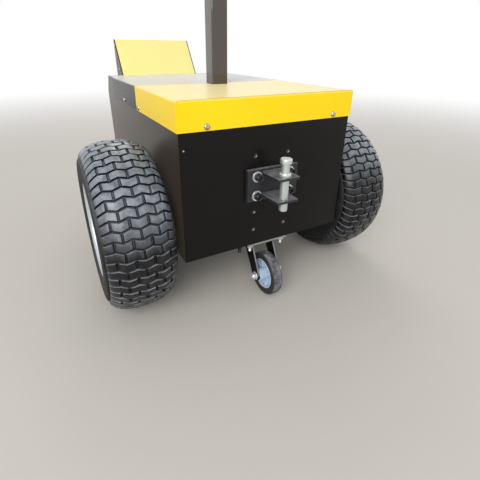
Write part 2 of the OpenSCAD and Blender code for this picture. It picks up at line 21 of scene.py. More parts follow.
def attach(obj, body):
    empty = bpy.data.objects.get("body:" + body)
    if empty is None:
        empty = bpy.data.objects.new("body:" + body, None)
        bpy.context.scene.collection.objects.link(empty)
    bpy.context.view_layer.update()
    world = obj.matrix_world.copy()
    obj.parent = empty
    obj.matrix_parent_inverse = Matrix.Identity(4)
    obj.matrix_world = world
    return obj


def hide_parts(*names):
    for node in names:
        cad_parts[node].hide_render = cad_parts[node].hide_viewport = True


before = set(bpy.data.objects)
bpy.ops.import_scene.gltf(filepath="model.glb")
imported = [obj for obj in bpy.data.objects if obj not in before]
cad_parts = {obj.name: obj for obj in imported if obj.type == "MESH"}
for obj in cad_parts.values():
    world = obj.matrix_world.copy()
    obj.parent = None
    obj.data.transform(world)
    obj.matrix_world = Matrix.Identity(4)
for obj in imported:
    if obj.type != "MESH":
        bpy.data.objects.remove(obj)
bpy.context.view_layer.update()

log = logging.getLogger("tow_tug")

CENTRE_Y = 342.5
TO_ROW = Matrix.Scale(0.001, 4) @ Matrix.Translation((0.0, -CENTRE_Y, 0.0))
FROM_ROW = TO_ROW.inverted()

Pair = tuple[float, float]
Point = tuple[float, float, float]
Place = tuple[Point, Point]
Tree = bpy.types.NodeTree
Socket = bpy.types.NodeSocket

TO_HITCH = (0.0, -1.0, 0.0)
TO_OPERATOR = (0.0, 1.0, 0.0)
DOWN = (0.0, 0.0, -1.0)
UP = Vector((0, 0, 1))


class Side(Enum):
    """Left and right of the tug, seen by the operator behind it."""

    LEFT = -1
    RIGHT = 1

    @property
    def word(self) -> str:
        """Name of the side as the nodes spell it."""
        return self.name.lower()


class End(Enum):
    """Hitch end and operator's end."""

    FRONT = "front"
    REAR = "rear"


# Node helpers

# Sockets of a Mix node by place: its share, its two colours and the mixed colour.
SHARE, FIRST, SECOND, MIXED = 0, 6, 7, 2


def linear(hex_colour: str) -> tuple[float, float, float, float]:
    """Turns an sRGB hex colour into linear RGBA.

    Args:
        hex_colour: colour such as "#FFD21E".
    Returns:
        Linear red, green, blue and an alpha of 1.
    """
    channels = [int(hex_colour[i : i + 2], 16) / 255 for i in (1, 3, 5)]
    red, green, blue = (c / 12.92 if c <= 0.04045 else ((c + 0.055) / 1.055) ** 2.4 for c in channels)
    return red, green, blue, 1.0


def add_node(
    tree: Tree, kind: str, inputs: dict | Sequence = (), **settings: object
) -> bpy.types.NodeOutputs:
    """Adds one node with its settings, values and links.

    Args:
        tree: node tree that gets it.
        kind: Blender's identifier of the node.
        inputs: values or sockets to link from, in order, or by the input's name or place.
        settings: properties of the node by name.
    Returns:
        The new node's outputs.
    """
    node = tree.nodes.new(kind)
    for name, value in settings.items():
        setattr(node, name, value)
    for key, value in inputs.items() if isinstance(inputs, dict) else enumerate(inputs):
        if isinstance(value, Socket):
            tree.links.new(value, node.inputs[key])
        else:
            node.inputs[key].default_value = value
    return node.outputs


# Finishes


class Grain(Enum):
    """How the surface was made, which gives its fine relief."""

    PEEL = "orange peel of powder coat"
    CAST = "sand casting"
    MOULDED = "spark-eroded mould"
    LATHE_X = "tool marks round an axis along X"
    LATHE_Z = "tool marks round an axis along Z"
    SPANGLE = "zinc crystals"
    PLATED = "smooth plating"


# Layers of detail in the noise that stands for each grain.
GRAIN_DETAIL = {Grain.PEEL: 1.0, Grain.CAST: 8.0, Grain.MOULDED: 4.0, Grain.PLATED: 2.0}


@dataclass(frozen=True)
class Finish:
    """One surface of the tug: what it is made of and what that gives the eye.

    The colour drifts slowly towards its shade. Dust lies on faces that look
    up, thicker the more they do, and in patches; on some finishes the same
    pale tint is a painted highlight of the sky on the tops. A film of fine
    dust brightens the surface at a grazing look. The grain gives the relief
    and a little of the roughness.

    Args:
        name: the material's name.
        colour: its own colour.
        shade: colour that it drifts towards.
        grain: how the surface was made.
        grain_mm: width of the grain.
        depth_mm: depth of the grain.
        roughness: roughness of the gloss.
        roughness_swing: how far the grain moves the roughness either way.
        metallic: share of bare metal.
        ior: index of refraction, low where the real surface mirrors little.
        clear: share of light let through.
        coat: share of lacquer.
        coat_roughness: roughness of the lacquer.
        coat_ior: index of refraction of the lacquer.
        shade_mm: width of the drift's patches.
        shade_share: most of the shade that a patch takes.
        dust: share of the pale tint, dust and painted highlight, on a face that looks straight up.
        dust_colour: the tint's colour.
        dust_least: share of the tint where its patches are thinnest.
        dust_from: how far up a face looks where the tint starts, as its normal's height.
        dust_full: how far up a face looks where the tint is full.
        dust_hides_metal: whether the tint dulls the metal under it.
        film: weight of the film on every face.
        film_top: weight of the film on faces that look up, where that is more.
        film_colour: the film's colour.
    """

    name: str
    colour: str
    shade: str
    grain: Grain
    grain_mm: float
    depth_mm: float
    roughness: float
    roughness_swing: float = 0.06
    metallic: float = 0.0
    ior: float = 1.5
    clear: float = 0.0
    coat: float = 0.0
    coat_roughness: float = 0.1
    coat_ior: float = 1.5
    shade_mm: float = 90.0
    shade_share: float = 0.5
    dust: float = 0.0
    dust_colour: str = "#A79F92"
    dust_least: float = 0.35
    dust_from: float = 0.2
    dust_full: float = 1.0
    dust_hides_metal: bool = False
    film: float = 0.0
    film_top: float = 0.0
    film_colour: str = "#FFFFFF"

    def material(self) -> bpy.types.Material:
        """Makes the material once and returns it."""
        known = bpy.data.materials.get(self.name)
        if known:
            return known
        made = bpy.data.materials.new(self.name)
        made.use_nodes = True
        tree = made.node_tree
        tree.nodes.clear()
        where = add_node(tree, "ShaderNodeTexCoord")["Object"]
        rough, height = self.relief(tree, where)
        bump = {"Strength": 1.0, "Distance": self.depth_mm / 1000, "Height": height}
        shader = {
            "Base Color": self.dusted(tree, where, self.coloured(tree, where)),
            "Roughness": rough,
            "Normal": add_node(tree, "ShaderNodeBump", bump)["Normal"],
            "Metallic": self.settled(tree, self.metallic, 0.0) if self.dust_hides_metal else self.metallic,
            "IOR": self.ior,
            "Transmission Weight": self.clear,
            "Coat Weight": self.coat,
            "Coat Roughness": self.coat_roughness,
            "Coat IOR": self.coat_ior,
            "Sheen Weight": self.settled(tree, self.film, self.film_top) if self.film_top else self.film,
            "Sheen Roughness": 0.35,
            "Sheen Tint": linear(self.film_colour),
        }
        surface = add_node(tree, "ShaderNodeBsdfPrincipled", shader)["BSDF"]
        add_node(tree, "ShaderNodeOutputMaterial", {"Surface": surface})
        made.diffuse_color = linear(self.colour)
        return made

    def patches(
        self, tree: Tree, where: Socket, size_mm: float, detail: float, span: Pair, share: Pair
    ) -> Socket:
        """Share that wanders from patch to patch.

        Args:
            tree: the material's tree.
            where: place on the piece.
            size_mm: width of a patch.
            detail: layers of finer patches.
            span: noise at which the share is least and most.
            share: the least and the most.
        Returns:
            The share.
        """
        noise = {"Vector": where, "Scale": 1000 / size_mm, "Detail": detail}
        wander = add_node(tree, "ShaderNodeTexNoise", noise)["Fac"]
        return add_node(tree, "ShaderNodeMapRange", [wander, *span, *share])[0]

    def settled(self, tree: Tree, least: float, most: float) -> Socket:
        """Amount that grows from least to most as a face turns up."""
        normal = add_node(tree, "ShaderNodeNewGeometry")["Normal"]
        up = add_node(tree, "ShaderNodeSeparateXYZ", [normal])["Z"]
        return add_node(tree, "ShaderNodeMapRange", [up, self.dust_from, self.dust_full, least, most])[0]

    def coloured(self, tree: Tree, where: Socket) -> Socket:
        """Colour before dust: the finish's own, drifting towards its shade."""
        drift = self.patches(tree, where, self.shade_mm, 3.0, (0.35, 0.7), (0.0, self.shade_share))
        colours = {SHARE: drift, FIRST: linear(self.colour), SECOND: linear(self.shade)}
        return add_node(tree, "ShaderNodeMix", colours, data_type="RGBA")[MIXED]

    def dusted(self, tree: Tree, where: Socket, colour: Socket) -> Socket:
        """Colour with dust, and on some finishes a painted highlight, on the faces that look up."""
        if not self.dust:
            return colour
        # The tint stands for dust, and on some finishes paints the sky's highlight on the tops.
        lies = self.settled(tree, 0.0, self.dust)
        patchy = self.patches(tree, where, 14.0, 6.0, (0.3, 0.75), (self.dust_least, 1.0))
        share = add_node(tree, "ShaderNodeMath", [lies, patchy], operation="MULTIPLY")[0]
        colours = {SHARE: share, FIRST: colour, SECOND: linear(self.dust_colour)}
        return add_node(tree, "ShaderNodeMix", colours, data_type="RGBA")[MIXED]

    def relief(self, tree: Tree, where: Socket) -> tuple[Socket, Socket]:
        """Roughness and height of the grain."""
        fine = {"Vector": where, "Scale": 1000 / self.grain_mm}
        if self.grain in (Grain.LATHE_X, Grain.LATHE_Z):
            axis, scale = self.grain.name[-1], 100 * math.pi / self.grain_mm
            rings = {"Vector": where, "Scale": scale, "Distortion": 0.6, "Detail": 2.0}
            height = add_node(tree, "ShaderNodeTexWave", rings, bands_direction=axis)["Fac"]
        elif self.grain is Grain.SPANGLE:
            height = add_node(tree, "ShaderNodeTexVoronoi", fine)["Color"]
        else:
            height = add_node(tree, "ShaderNodeTexNoise", {**fine, "Detail": GRAIN_DETAIL[self.grain]})["Fac"]
        low, high = self.roughness - self.roughness_swing, self.roughness + self.roughness_swing
        return add_node(tree, "ShaderNodeMapRange", [height, 0.25, 0.75, low, high])[0], height


@dataclass(frozen=True)
class TreadRubber(Finish):
    """Tyre rubber that reads how high a point stands in the tread, from 0 on a groove's floor to 1.

    The pale tint of dust and painted sky highlight lies mostly on the blocks'
    tops, which the ground has worn glossy, so the grooves stay darker.
    Everything lower keeps the mould's matt skin.

    Args:
        groove: colour of the dirt on the groove floors.
        scuff: colour of the pale scuffs on the blocks.
        matt: roughness off the blocks' tops.
    """

    groove: str = "#0E0D0D"
    scuff: str = "#38383A"
    matt: float = 0.75

    def coloured(self, tree: Tree, where: Socket) -> Socket:
        """Black rubber with pale scuffs on the blocks and dirt on the groove floors."""
        high = add_node(tree, "ShaderNodeAttribute", attribute_name="height")["Fac"]
        worn = self.patches(tree, where, 30.0, 8.0, (0.52, 0.68), (0.0, 0.55))
        patchy = self.patches(tree, where, 40.0, 4.0, (0.3, 0.7), (0.35, 1.0))
        rise = add_node(tree, "ShaderNodeMapRange", [high, 0.05, 0.6, 0.0, 1.0])[0]
        scuffed = {SHARE: worn, FIRST: super().coloured(tree, where), SECOND: linear(self.scuff)}
        dirty = {SHARE: patchy, FIRST: linear(self.colour), SECOND: linear(self.groove)}
        block = add_node(tree, "ShaderNodeMix", scuffed, data_type="RGBA")[MIXED]
        floor = add_node(tree, "ShaderNodeMix", dirty, data_type="RGBA")[MIXED]
        colours = {SHARE: rise, FIRST: floor, SECOND: block}
        return add_node(tree, "ShaderNodeMix", colours, data_type="RGBA")[MIXED]

    def tops(self, tree: Tree, least: float) -> Socket:
        """1 on the worn tops of the blocks, and the least share in the grooves and on the sidewalls."""
        high = add_node(tree, "ShaderNodeAttribute", attribute_name="height")["Fac"]
        return add_node(tree, "ShaderNodeMapRange", [high, 0.4, 0.85, least, 1.0])[0]

    def dusted(self, tree: Tree, where: Socket, colour: Socket) -> Socket:
        """Dust and a painted sky highlight on the blocks' tops, and a little in the grooves."""
        colours = {SHARE: self.tops(tree, 0.3), FIRST: colour, SECOND: super().dusted(tree, where, colour)}
        return add_node(tree, "ShaderNodeMix", colours, data_type="RGBA")[MIXED]

    def relief(self, tree: Tree, where: Socket) -> tuple[Socket, Socket]:
        """Grain of the rubber, glossy where the ground has worn it and matt elsewhere."""
        worn, height = super().relief(tree, where)
        gloss = {"Factor": self.tops(tree, 0.0), "A": self.matt, "B": worn}
        return add_node(tree, "ShaderNodeMix", gloss, data_type="FLOAT")[0], height


@dataclass(frozen=True)
class WheelRubber(Finish):
    """Rubber of a caster tyre, black on its sides and grey with dust on its tread.

    Args:
        tread: colour of the dusty tread.
        axle: Y and Z of the wheel's axle in the plan.
        tread_r: radius at which the tread starts.
    """

    tread: str = "#86858A"
    axle: Pair = (0.0, 58.0)
    tread_r: float = 55.4

    def coloured(self, tree: Tree, where: Socket) -> Socket:
        """Colour by the distance from the wheel's own axle."""
        axle = TO_ROW @ Vector((0.0, *self.axle))
        from_axle = add_node(tree, "ShaderNodeVectorMath", [where, axle], operation="SUBTRACT")[0]
        flat = add_node(tree, "ShaderNodeVectorMath", [from_axle, (0.0, 1.0, 1.0)], operation="MULTIPLY")[0]
        reach = add_node(tree, "ShaderNodeVectorMath", [flat], operation="LENGTH")["Value"]
        start, full = self.tread_r / 1000, (self.tread_r + 2.2) / 1000
        outer = add_node(tree, "ShaderNodeMapRange", [reach, start, full, 0.0, 1.0])[0]
        patchy = self.patches(tree, where, 16.0, 8.0, (0.38, 0.66), (0.15, 1.0))
        share = add_node(tree, "ShaderNodeMath", [outer, patchy], operation="MULTIPLY")[0]
        colours = {SHARE: share, FIRST: super().coloured(tree, where), SECOND: linear(self.tread)}
        return add_node(tree, "ShaderNodeMix", colours, data_type="RGBA")[MIXED]


# Powder coat: a skin of baked resin, even in colour, with the soft waviness of orange peel.
# Its film is tinted warm: a painted reflection of brown ground on the grazing sides.
BLACK_POWDER = Finish(
    "black_powder_coat", "#0B0A0A", "#0F0E0E", Grain.PEEL, grain_mm=2.6, depth_mm=0.01, roughness=0.3,
    roughness_swing=0.02, ior=1.28, dust=0.08, film=0.26, film_colour="#F2DCC4",
)
# The same resin baked glossy: it mirrors the sky. Its pale tint on faces that look up is dust and a painted
# highlight of the sky on the deck's top.
BLACK_GLOSS = Finish(
    "black_gloss_powder_coat", "#0D0C0B", "#11100F", Grain.PEEL, grain_mm=3.0, depth_mm=0.005, roughness=0.22,
    roughness_swing=0.02, ior=1.18, dust=0.3, dust_colour="#DCD6CE", dust_least=0.9, film_top=1.0,
)
# Stove enamel on the tubes: black and glossy under a clear coat, its base colour brown as a painted
# reflection of the yellow lid.
ENAMEL_PAINTED_LID_REFLECTION = Finish(
    "black_stove_enamel", "#2A1A0C", "#301E0E", Grain.PEEL, grain_mm=3.4, depth_mm=0.006, roughness=0.3,
    roughness_swing=0.04, ior=1.3, coat=1.0, coat_roughness=0.05, coat_ior=1.75,
)
# Signal yellow powder coat: strong, a little warmer in its drift, semi-gloss. Its pale, nearly even tint on
# faces that look up is a painted highlight of the sky's glare on the lid's top.
YELLOW_POWDER = Finish(
    "yellow_powder_coat", "#FFDC22", "#FFD31A", Grain.PEEL, grain_mm=2.8, depth_mm=0.003, roughness=0.28,
    roughness_swing=0.01, ior=1.2, shade_mm=160.0, dust=0.25, dust_colour="#FFF8D6", dust_least=0.9,
    film_top=0.5,
)
# The console's sheet of the same yellow, painted paler and with a pale tint on faces that look up: a painted
# highlight of the sky's glare on the console.
YELLOW_PAINTED_GLARE = Finish(
    "bleached_yellow_powder_coat", "#FFF087", "#FFEC74", Grain.PEEL, grain_mm=2.8, depth_mm=0.003,
    roughness=0.3, roughness_swing=0.01, ior=1.3, shade_mm=160.0, dust=0.4, dust_colour="#FFFBE2",
    dust_least=0.9,
)
# The same yellow, darker: painted shade along the bend of the lid's top front edge, where little light gets
# in.
BEND_SHADE = Finish(
    "yellow_in_shade", "#CDB22A", "#C2A524", Grain.PEEL, grain_mm=2.8, depth_mm=0.01, roughness=0.6, ior=1.27
)
# Thin satin paint over flame-cut plate: greyer than the panels, the plate's roughness shows through.
# Its faces that look up take a pale grey in full: painted light of the sky on the tops of the plate and
# shelves.
HITCH_PAINT = Finish(
    "satin_paint_on_plate", "#2A2A2D", "#37373A", Grain.CAST, grain_mm=6.0, depth_mm=0.05, roughness=0.42,
    metallic=0.2, shade_mm=22.0, dust=1.0, dust_colour="#98989A",
)
# Black oxide on alloy steel: nearly black, oiled, with a metallic sheen.
BLACK_OXIDE = Finish(
    "black_oxide_steel", "#3B3B3F", "#4A4A4E", Grain.PLATED, grain_mm=1.5, depth_mm=0.01, roughness=0.24,
    metallic=0.85,
)
# Clear passivated zinc: a whitish satin silver that stays light where it mirrors dark things.
# Its whitish tint on faces that look up is a painted highlight on the tops, such as the pin's.
BRIGHT_ZINC = Finish(
    "clear_zinc_plate", "#D3D9D7", "#BAC4C2", Grain.LATHE_Z, grain_mm=1.6, depth_mm=0.006, roughness=0.28,
    metallic=0.7, shade_mm=14.0, dust=0.8, dust_colour="#F6F3EC", dust_from=0.7, dust_least=0.8,
    dust_hides_metal=True,
)
# Zinc plate on hexagons and washers: the same, without a lathe's marks.
DULL_ZINC = Finish(
    "dull_zinc_plate", "#DDE1E1", "#C4C8C7", Grain.PLATED, grain_mm=3.0, depth_mm=0.015, roughness=0.33,
    metallic=0.65, shade_mm=9.0,
)
# Hot-dip zinc: grey crystals a few millimetres wide, each with its own gloss.
GALVANISED = Finish(
    "hot_dip_zinc", "#AEB2B4", "#94999C", Grain.SPANGLE, grain_mm=5.0, depth_mm=0.01, roughness=0.42,
    roughness_swing=0.14, metallic=0.9, shade_mm=7.0,
)
# Stainless screws: warm grey, fine tool marks.
STAINLESS = Finish(
    "stainless_steel", "#B9B4AD", "#A19B93", Grain.PLATED, grain_mm=2.0, depth_mm=0.008, roughness=0.3,
    metallic=1.0, shade_mm=6.0,
)
# Turned steel, wiped with oil: rings of the tool round the axle.
TURNED_STEEL = Finish(
    "turned_oiled_steel", "#9B9B9A", "#7E7C79", Grain.LATHE_X, grain_mm=1.8, depth_mm=0.012, roughness=0.3,
    metallic=1.0, shade_mm=25.0,
)
# Painted grey casting: sand grain under a dull paint.
CAST_IRON = Finish(
    "painted_grey_casting", "#4E4E50", "#434345", Grain.CAST, grain_mm=3.5, depth_mm=0.16, roughness=0.6,
    metallic=0.1, dust=0.2,
)
# Silver wheel paint: metal flake in lacquer.
RIM_PAINT = Finish(
    "silver_wheel_paint", "#CED6DA", "#BCC4C9", Grain.PEEL, grain_mm=1.6, depth_mm=0.02, roughness=0.4,
    metallic=0.45, coat=0.3, dust=0.15,
)
# Tyre rubber: black with carbon, dull, greyed by dust and scuffs; the blue-grey tint on its upper blocks is
# dust and a painted highlight of the sky.
TYRE_RUBBER = TreadRubber(
    "turf_tyre_rubber", "#0A0B0C", "#101112", Grain.CAST, grain_mm=1.4, depth_mm=0.02, roughness=0.26,
    ior=1.46, shade_mm=70.0, dust=0.9, dust_colour="#9CA3AC", dust_from=0.08, dust_full=0.6,
)
# The right tyre takes the pale tint only near its top, so it stays darker: painted shade of the tyre in the
# body's shade.
SHADED_TYRE_RUBBER = replace(TYRE_RUBBER, name="clean_turf_tyre_rubber", dust_from=0.32, dust_full=0.78)
# Caster rubber: greyer and duller than the tyres', its tread dusty from the ground.
CASTER_RUBBER = WheelRubber(
    "caster_rubber", "#262526", "#302F2E", Grain.CAST, grain_mm=1.2, depth_mm=0.04, roughness=0.58,
    shade_mm=20.0,
)
# Pale blue nylon, moulded: soft sheen, a little dirt in the drift.
CASTER_NYLON = Finish(
    "pale_blue_nylon", "#B7C8DC", "#A3B5CB", Grain.MOULDED, grain_mm=1.2, depth_mm=0.02, roughness=0.42,
    ior=1.53, shade_mm=18.0,
)
# Bare steel thread, seen through the open holes: grey and a little rusty in its turns.
BARE_THREAD = Finish(
    "bare_steel_thread", "#6F6D6A", "#57524C", Grain.PLATED, grain_mm=1.5, depth_mm=0.01, roughness=0.45,
    metallic=0.9,
)
# Sheared steel edge under worn paint, satin grey; the pale strips on the fork's legs also paint the edges'
# highlight.
WORN_EDGE_AND_HIGHLIGHT = Finish(
    "worn_steel_edge", "#8E9294", "#6F7376", Grain.PLATED, grain_mm=2.5, depth_mm=0.02, roughness=0.5,
    metallic=0.2, shade_mm=8.0,
)
# Soft grip rubber: black and dull.
GRIP_RUBBER = Finish(
    "soft_grip_rubber", "#1D1D1E", "#262627", Grain.MOULDED, grain_mm=1.2, depth_mm=0.04, roughness=0.72,
    shade_mm=30.0, dust=0.1,
)
# Black ABS with a fine eroded texture.
BLACK_ABS = Finish(
    "black_textured_abs", "#202021", "#29292A", Grain.MOULDED, grain_mm=1.3, depth_mm=0.04, roughness=0.5,
    ior=1.54, dust=0.12,
)
# Red and yellow ABS of the emergency stop, moulded glossy.
RED_ABS = Finish(
    "red_glossy_abs", "#C4161C", "#B01218", Grain.MOULDED, grain_mm=4.0, depth_mm=0.01, roughness=0.26,
    ior=1.54, shade_mm=30.0,
)
YELLOW_ABS = Finish(
    "yellow_glossy_abs", "#F2C618", "#E6B90F", Grain.MOULDED, grain_mm=4.0, depth_mm=0.01, roughness=0.3,
    ior=1.54,
)
# White printed dial card behind its cover, matt.
DIAL_CARD = Finish(
    "white_dial_card", "#EDEDE8", "#E2E2DC", Grain.PLATED, grain_mm=2.0, depth_mm=0.003, roughness=0.7,
    shade_mm=20.0,
)
# Matt printing inks of the dial's marks, which are small raised shapes.
DIAL_GREEN, DIAL_RED, DIAL_BLACK = (
    Finish(f"{word}_dial_ink", colour, shade, Grain.PLATED, grain_mm=2.0, depth_mm=0.003, roughness=0.6)
    for word, colour, shade in (
        ("green", "#2E9B4A", "#2A8E44"), ("red", "#C62A24", "#B6241F"), ("black", "#1A1A1A", "#222222")
    )
)
# Clear acrylic: only its gloss shows, with what lies behind it.
DIAL_COVER = Finish(
    "clear_acrylic_cover", "#FFFFFF", "#FCFCFC", Grain.PLATED, grain_mm=20.0, depth_mm=0.002, roughness=0.04,
    roughness_swing=0.01, ior=1.49, clear=1.0,
)
# Polypropylene battery box: dark grey, satin.
BATTERY_BOX = Finish(
    "grey_polypropylene", "#3C3E42", "#44464A", Grain.MOULDED, grain_mm=2.0, depth_mm=0.03, roughness=0.5,
    ior=1.49,
)
# Matt pale paint of the studio's floor.
FLOOR_PAINT = Finish(
    "pale_studio_floor", "#CBC5BB", "#CBC5BB", Grain.MOULDED, grain_mm=30.0, depth_mm=0.02, roughness=0.8,
    shade_mm=900.0,
)


# Forms


def circle(radius: float, z: float, steps: int) -> list[Point]:
    """Closed ring of points about Z."""
    turns = [2 * math.pi * i / steps for i in range(steps)]
    return [(radius * math.cos(turn), radius * math.sin(turn), z) for turn in turns]


def hexagon(across: float, z: float, steps: int) -> list[Point]:
    """Hexagon about Z with the count of points asked for, which six divides."""
    ring = []
    for i in range(steps):
        turn = 2 * math.pi * i / steps
        slant = (turn + math.pi / 6) % (math.pi / 3) - math.pi / 6
        reach = across / 2 / math.cos(slant)
        ring.append((reach * math.cos(turn), reach * math.sin(turn), z))
    return ring


def rounded_rectangle(half_a: float, half_b: float, radius: float, steps: int = 5) -> list[Pair]:
    """Outline of a rectangle with round corners.

    Args:
        half_a: half of the first side.
        half_b: half of the second side.
        radius: corner radius.
        steps: spans in each corner.
    Returns:
        Points anticlockwise, without a repeated end.
    """
    outline = []
    for corner, (sa, sb) in enumerate(((1, 1), (-1, 1), (-1, -1), (1, -1))):
        a, b = sa * (half_a - radius), sb * (half_b - radius)
        for i in range(steps + 1):
            turn = math.pi / 2 * (corner + i / steps)
            outline.append((a + radius * math.cos(turn), b + radius * math.sin(turn)))
    return outline


def flat_strip(half_width: float, half_thick: float) -> list[Pair]:
    """Section of a flat strip, for a sweep."""
    a, b = half_width, half_thick
    return [(-a, -b), (a, -b), (a, b), (-a, b)]


def mirrored(profile: Sequence[Pair]) -> list[Pair]:
    """The same profile on the other side of the middle, in the order that closes the ring."""
    return [(r, -z) for r, z in reversed(profile)]


def rails(path: Sequence[Vector], up: Vector, closed: bool) -> Iterator[tuple[Vector, Vector, Vector]]:
    """Each point of a path with its directions across the path and up.

    Args:
        path: middle points.
        up: direction that the second direction keeps to.
        closed: whether the path joins itself.
    Yields:
        The point, the direction across and the direction up.
    """
    last = len(path) - 1
    for i, here in enumerate(path):
        before = path[i - 1] if closed or i else here
        after = path[(i + 1) % len(path)] if closed or i < last else here
        ahead = (after - before).normalized()
        across = ahead.cross(up).normalized()
        yield here, across, across.cross(ahead)


def plain_mesh(holder: bpy.types.Object) -> bpy.types.Mesh:
    """Turns an object with modifiers into a mesh without them."""
    graph = bpy.context.evaluated_depsgraph_get()
    return bpy.data.meshes.new_from_object(
        holder.evaluated_get(graph), preserve_all_data_layers=True, depsgraph=graph
    )


def held(name: str, data: bpy.types.ID) -> bpy.types.Object:
    """Puts a mesh, a light or a camera into an object of the scene."""
    holder = bpy.data.objects.new(name, data)
    bpy.context.collection.objects.link(holder)
    return holder


def geometry_tree(name: str, inputs: dict[str, str]) -> tuple[Tree, dict[str, str], bpy.types.NodeOutputs]:
    """Starts a Geometry Nodes tree with a geometry in and out and named inputs.

    Args:
        name: name of the tree.
        inputs: socket types of its own inputs by their names.
    Returns:
        The tree, each input's identifier by its name, and the inputs' sockets.
    """
    tree = bpy.data.node_groups.new(name, "GeometryNodeTree")
    tree.interface.new_socket("Geometry", in_out="INPUT", socket_type="NodeSocketGeometry")
    tree.interface.new_socket("Geometry", in_out="OUTPUT", socket_type="NodeSocketGeometry")
    keys = {
        label: tree.interface.new_socket(label, in_out="INPUT", socket_type=kind).identifier
        for label, kind in inputs.items()
    }
    return tree, keys, add_node(tree, "NodeGroupInput")


class Repeater:
    """Geometry Nodes trees that repeat a small part, built once and used by every sub-assembly."""

    def __init__(self) -> None:
        """Builds both trees."""
        self.ring, self.ring_keys = self.build_ring()
        self.scatter, self.scatter_keys = self.build_scatter()

    def build_ring(self) -> tuple[Tree, dict[str, str]]:
        """Tree that turns copies of its geometry evenly about Z."""
        tree, keys, given = geometry_tree(
            "turn_copies_about_z",
            {"Count": "NodeSocketInt", "Start": "NodeSocketFloat", "Finish": "NodeSocketMaterial"},
        )
        index = add_node(tree, "GeometryNodeInputIndex")[0]
        share = add_node(tree, "ShaderNodeMath", [index, given["Count"]], operation="DIVIDE")[0]
        angle = [share, math.tau, given["Start"]]
        spin = self.about_z(tree, add_node(tree, "ShaderNodeMath", angle, operation="MULTIPLY_ADD")[0])
        points = add_node(tree, "GeometryNodePoints", {"Count": given["Count"]})[0]
        self.close(tree, {"Points": points, "Instance": given["Geometry"], "Rotation": spin}, given["Finish"])
        return tree, keys

    def build_scatter(self) -> tuple[Tree, dict[str, str]]:
        """Tree that stands a part on each point, along the point's aim and turned at random about it."""
        tree, keys, given = geometry_tree(
            "stand_part_on_places",
            {
                "Part": "NodeSocketObject",
                "Spin": "NodeSocketFloat",
                "Seed": "NodeSocketInt",
                "Finish": "NodeSocketMaterial",
            },
        )
        part = add_node(tree, "GeometryNodeObjectInfo", {"Object": given["Part"]})["Geometry"]
        aim = add_node(tree, "GeometryNodeInputNamedAttribute", {"Name": "aim"}, data_type="FLOAT_VECTOR")[0]
        stand = add_node(tree, "FunctionNodeAlignRotationToVector", {"Vector": aim}, axis="Z")[0]
        # Inputs 2 and 3 are the least and the most of a plain number.
        span = {2: 0.0, 3: given["Spin"], "Seed": given["Seed"]}
        drawn = add_node(tree, "FunctionNodeRandomValue", span, data_type="FLOAT")[1]
        both = [stand, self.about_z(tree, drawn)]
        turned = add_node(tree, "FunctionNodeRotateRotation", both, rotation_space="LOCAL")[0]
        self.close(tree, {"Points": given["Geometry"], "Instance": part, "Rotation": turned}, given["Finish"])
        return tree, keys

    def about_z(self, tree: Tree, angle: Socket) -> Socket:
        """Rotation about Z by an angle."""
        return add_node(tree, "FunctionNodeAxisAngleToRotation", {"Axis": (0.0, 0.0, 1.0), "Angle": angle})[0]

    def close(self, tree: Tree, copies: dict[str, Socket], finish: Socket) -> None:
        """Ends a tree: real copies with their material."""
        placed = add_node(tree, "GeometryNodeInstanceOnPoints", copies)[0]
        real = add_node(tree, "GeometryNodeRealizeInstances", {"Geometry": placed})[0]
        dressed = add_node(tree, "GeometryNodeSetMaterial", {"Geometry": real, "Material": finish})[0]
        add_node(tree, "NodeGroupOutput", {"Geometry": dressed})

    def run(self, mesh: bpy.types.Mesh, tree: Tree, values: dict[str, object]) -> bpy.types.Mesh:
        """Runs a tree over a mesh.

        Args:
            mesh: geometry given to the tree.
            tree: the tree.
            values: inputs by their sockets' identifiers.
        Returns:
            The plain result.
        """
        holder = held("repeat_holder", mesh)
        modifier = holder.modifiers.new("repeat", "NODES")
        modifier.node_group = tree
        for key, value in values.items():
            modifier[key] = value
        result = plain_mesh(holder)
        bpy.data.objects.remove(holder)
        return result


REPEATER = Repeater()


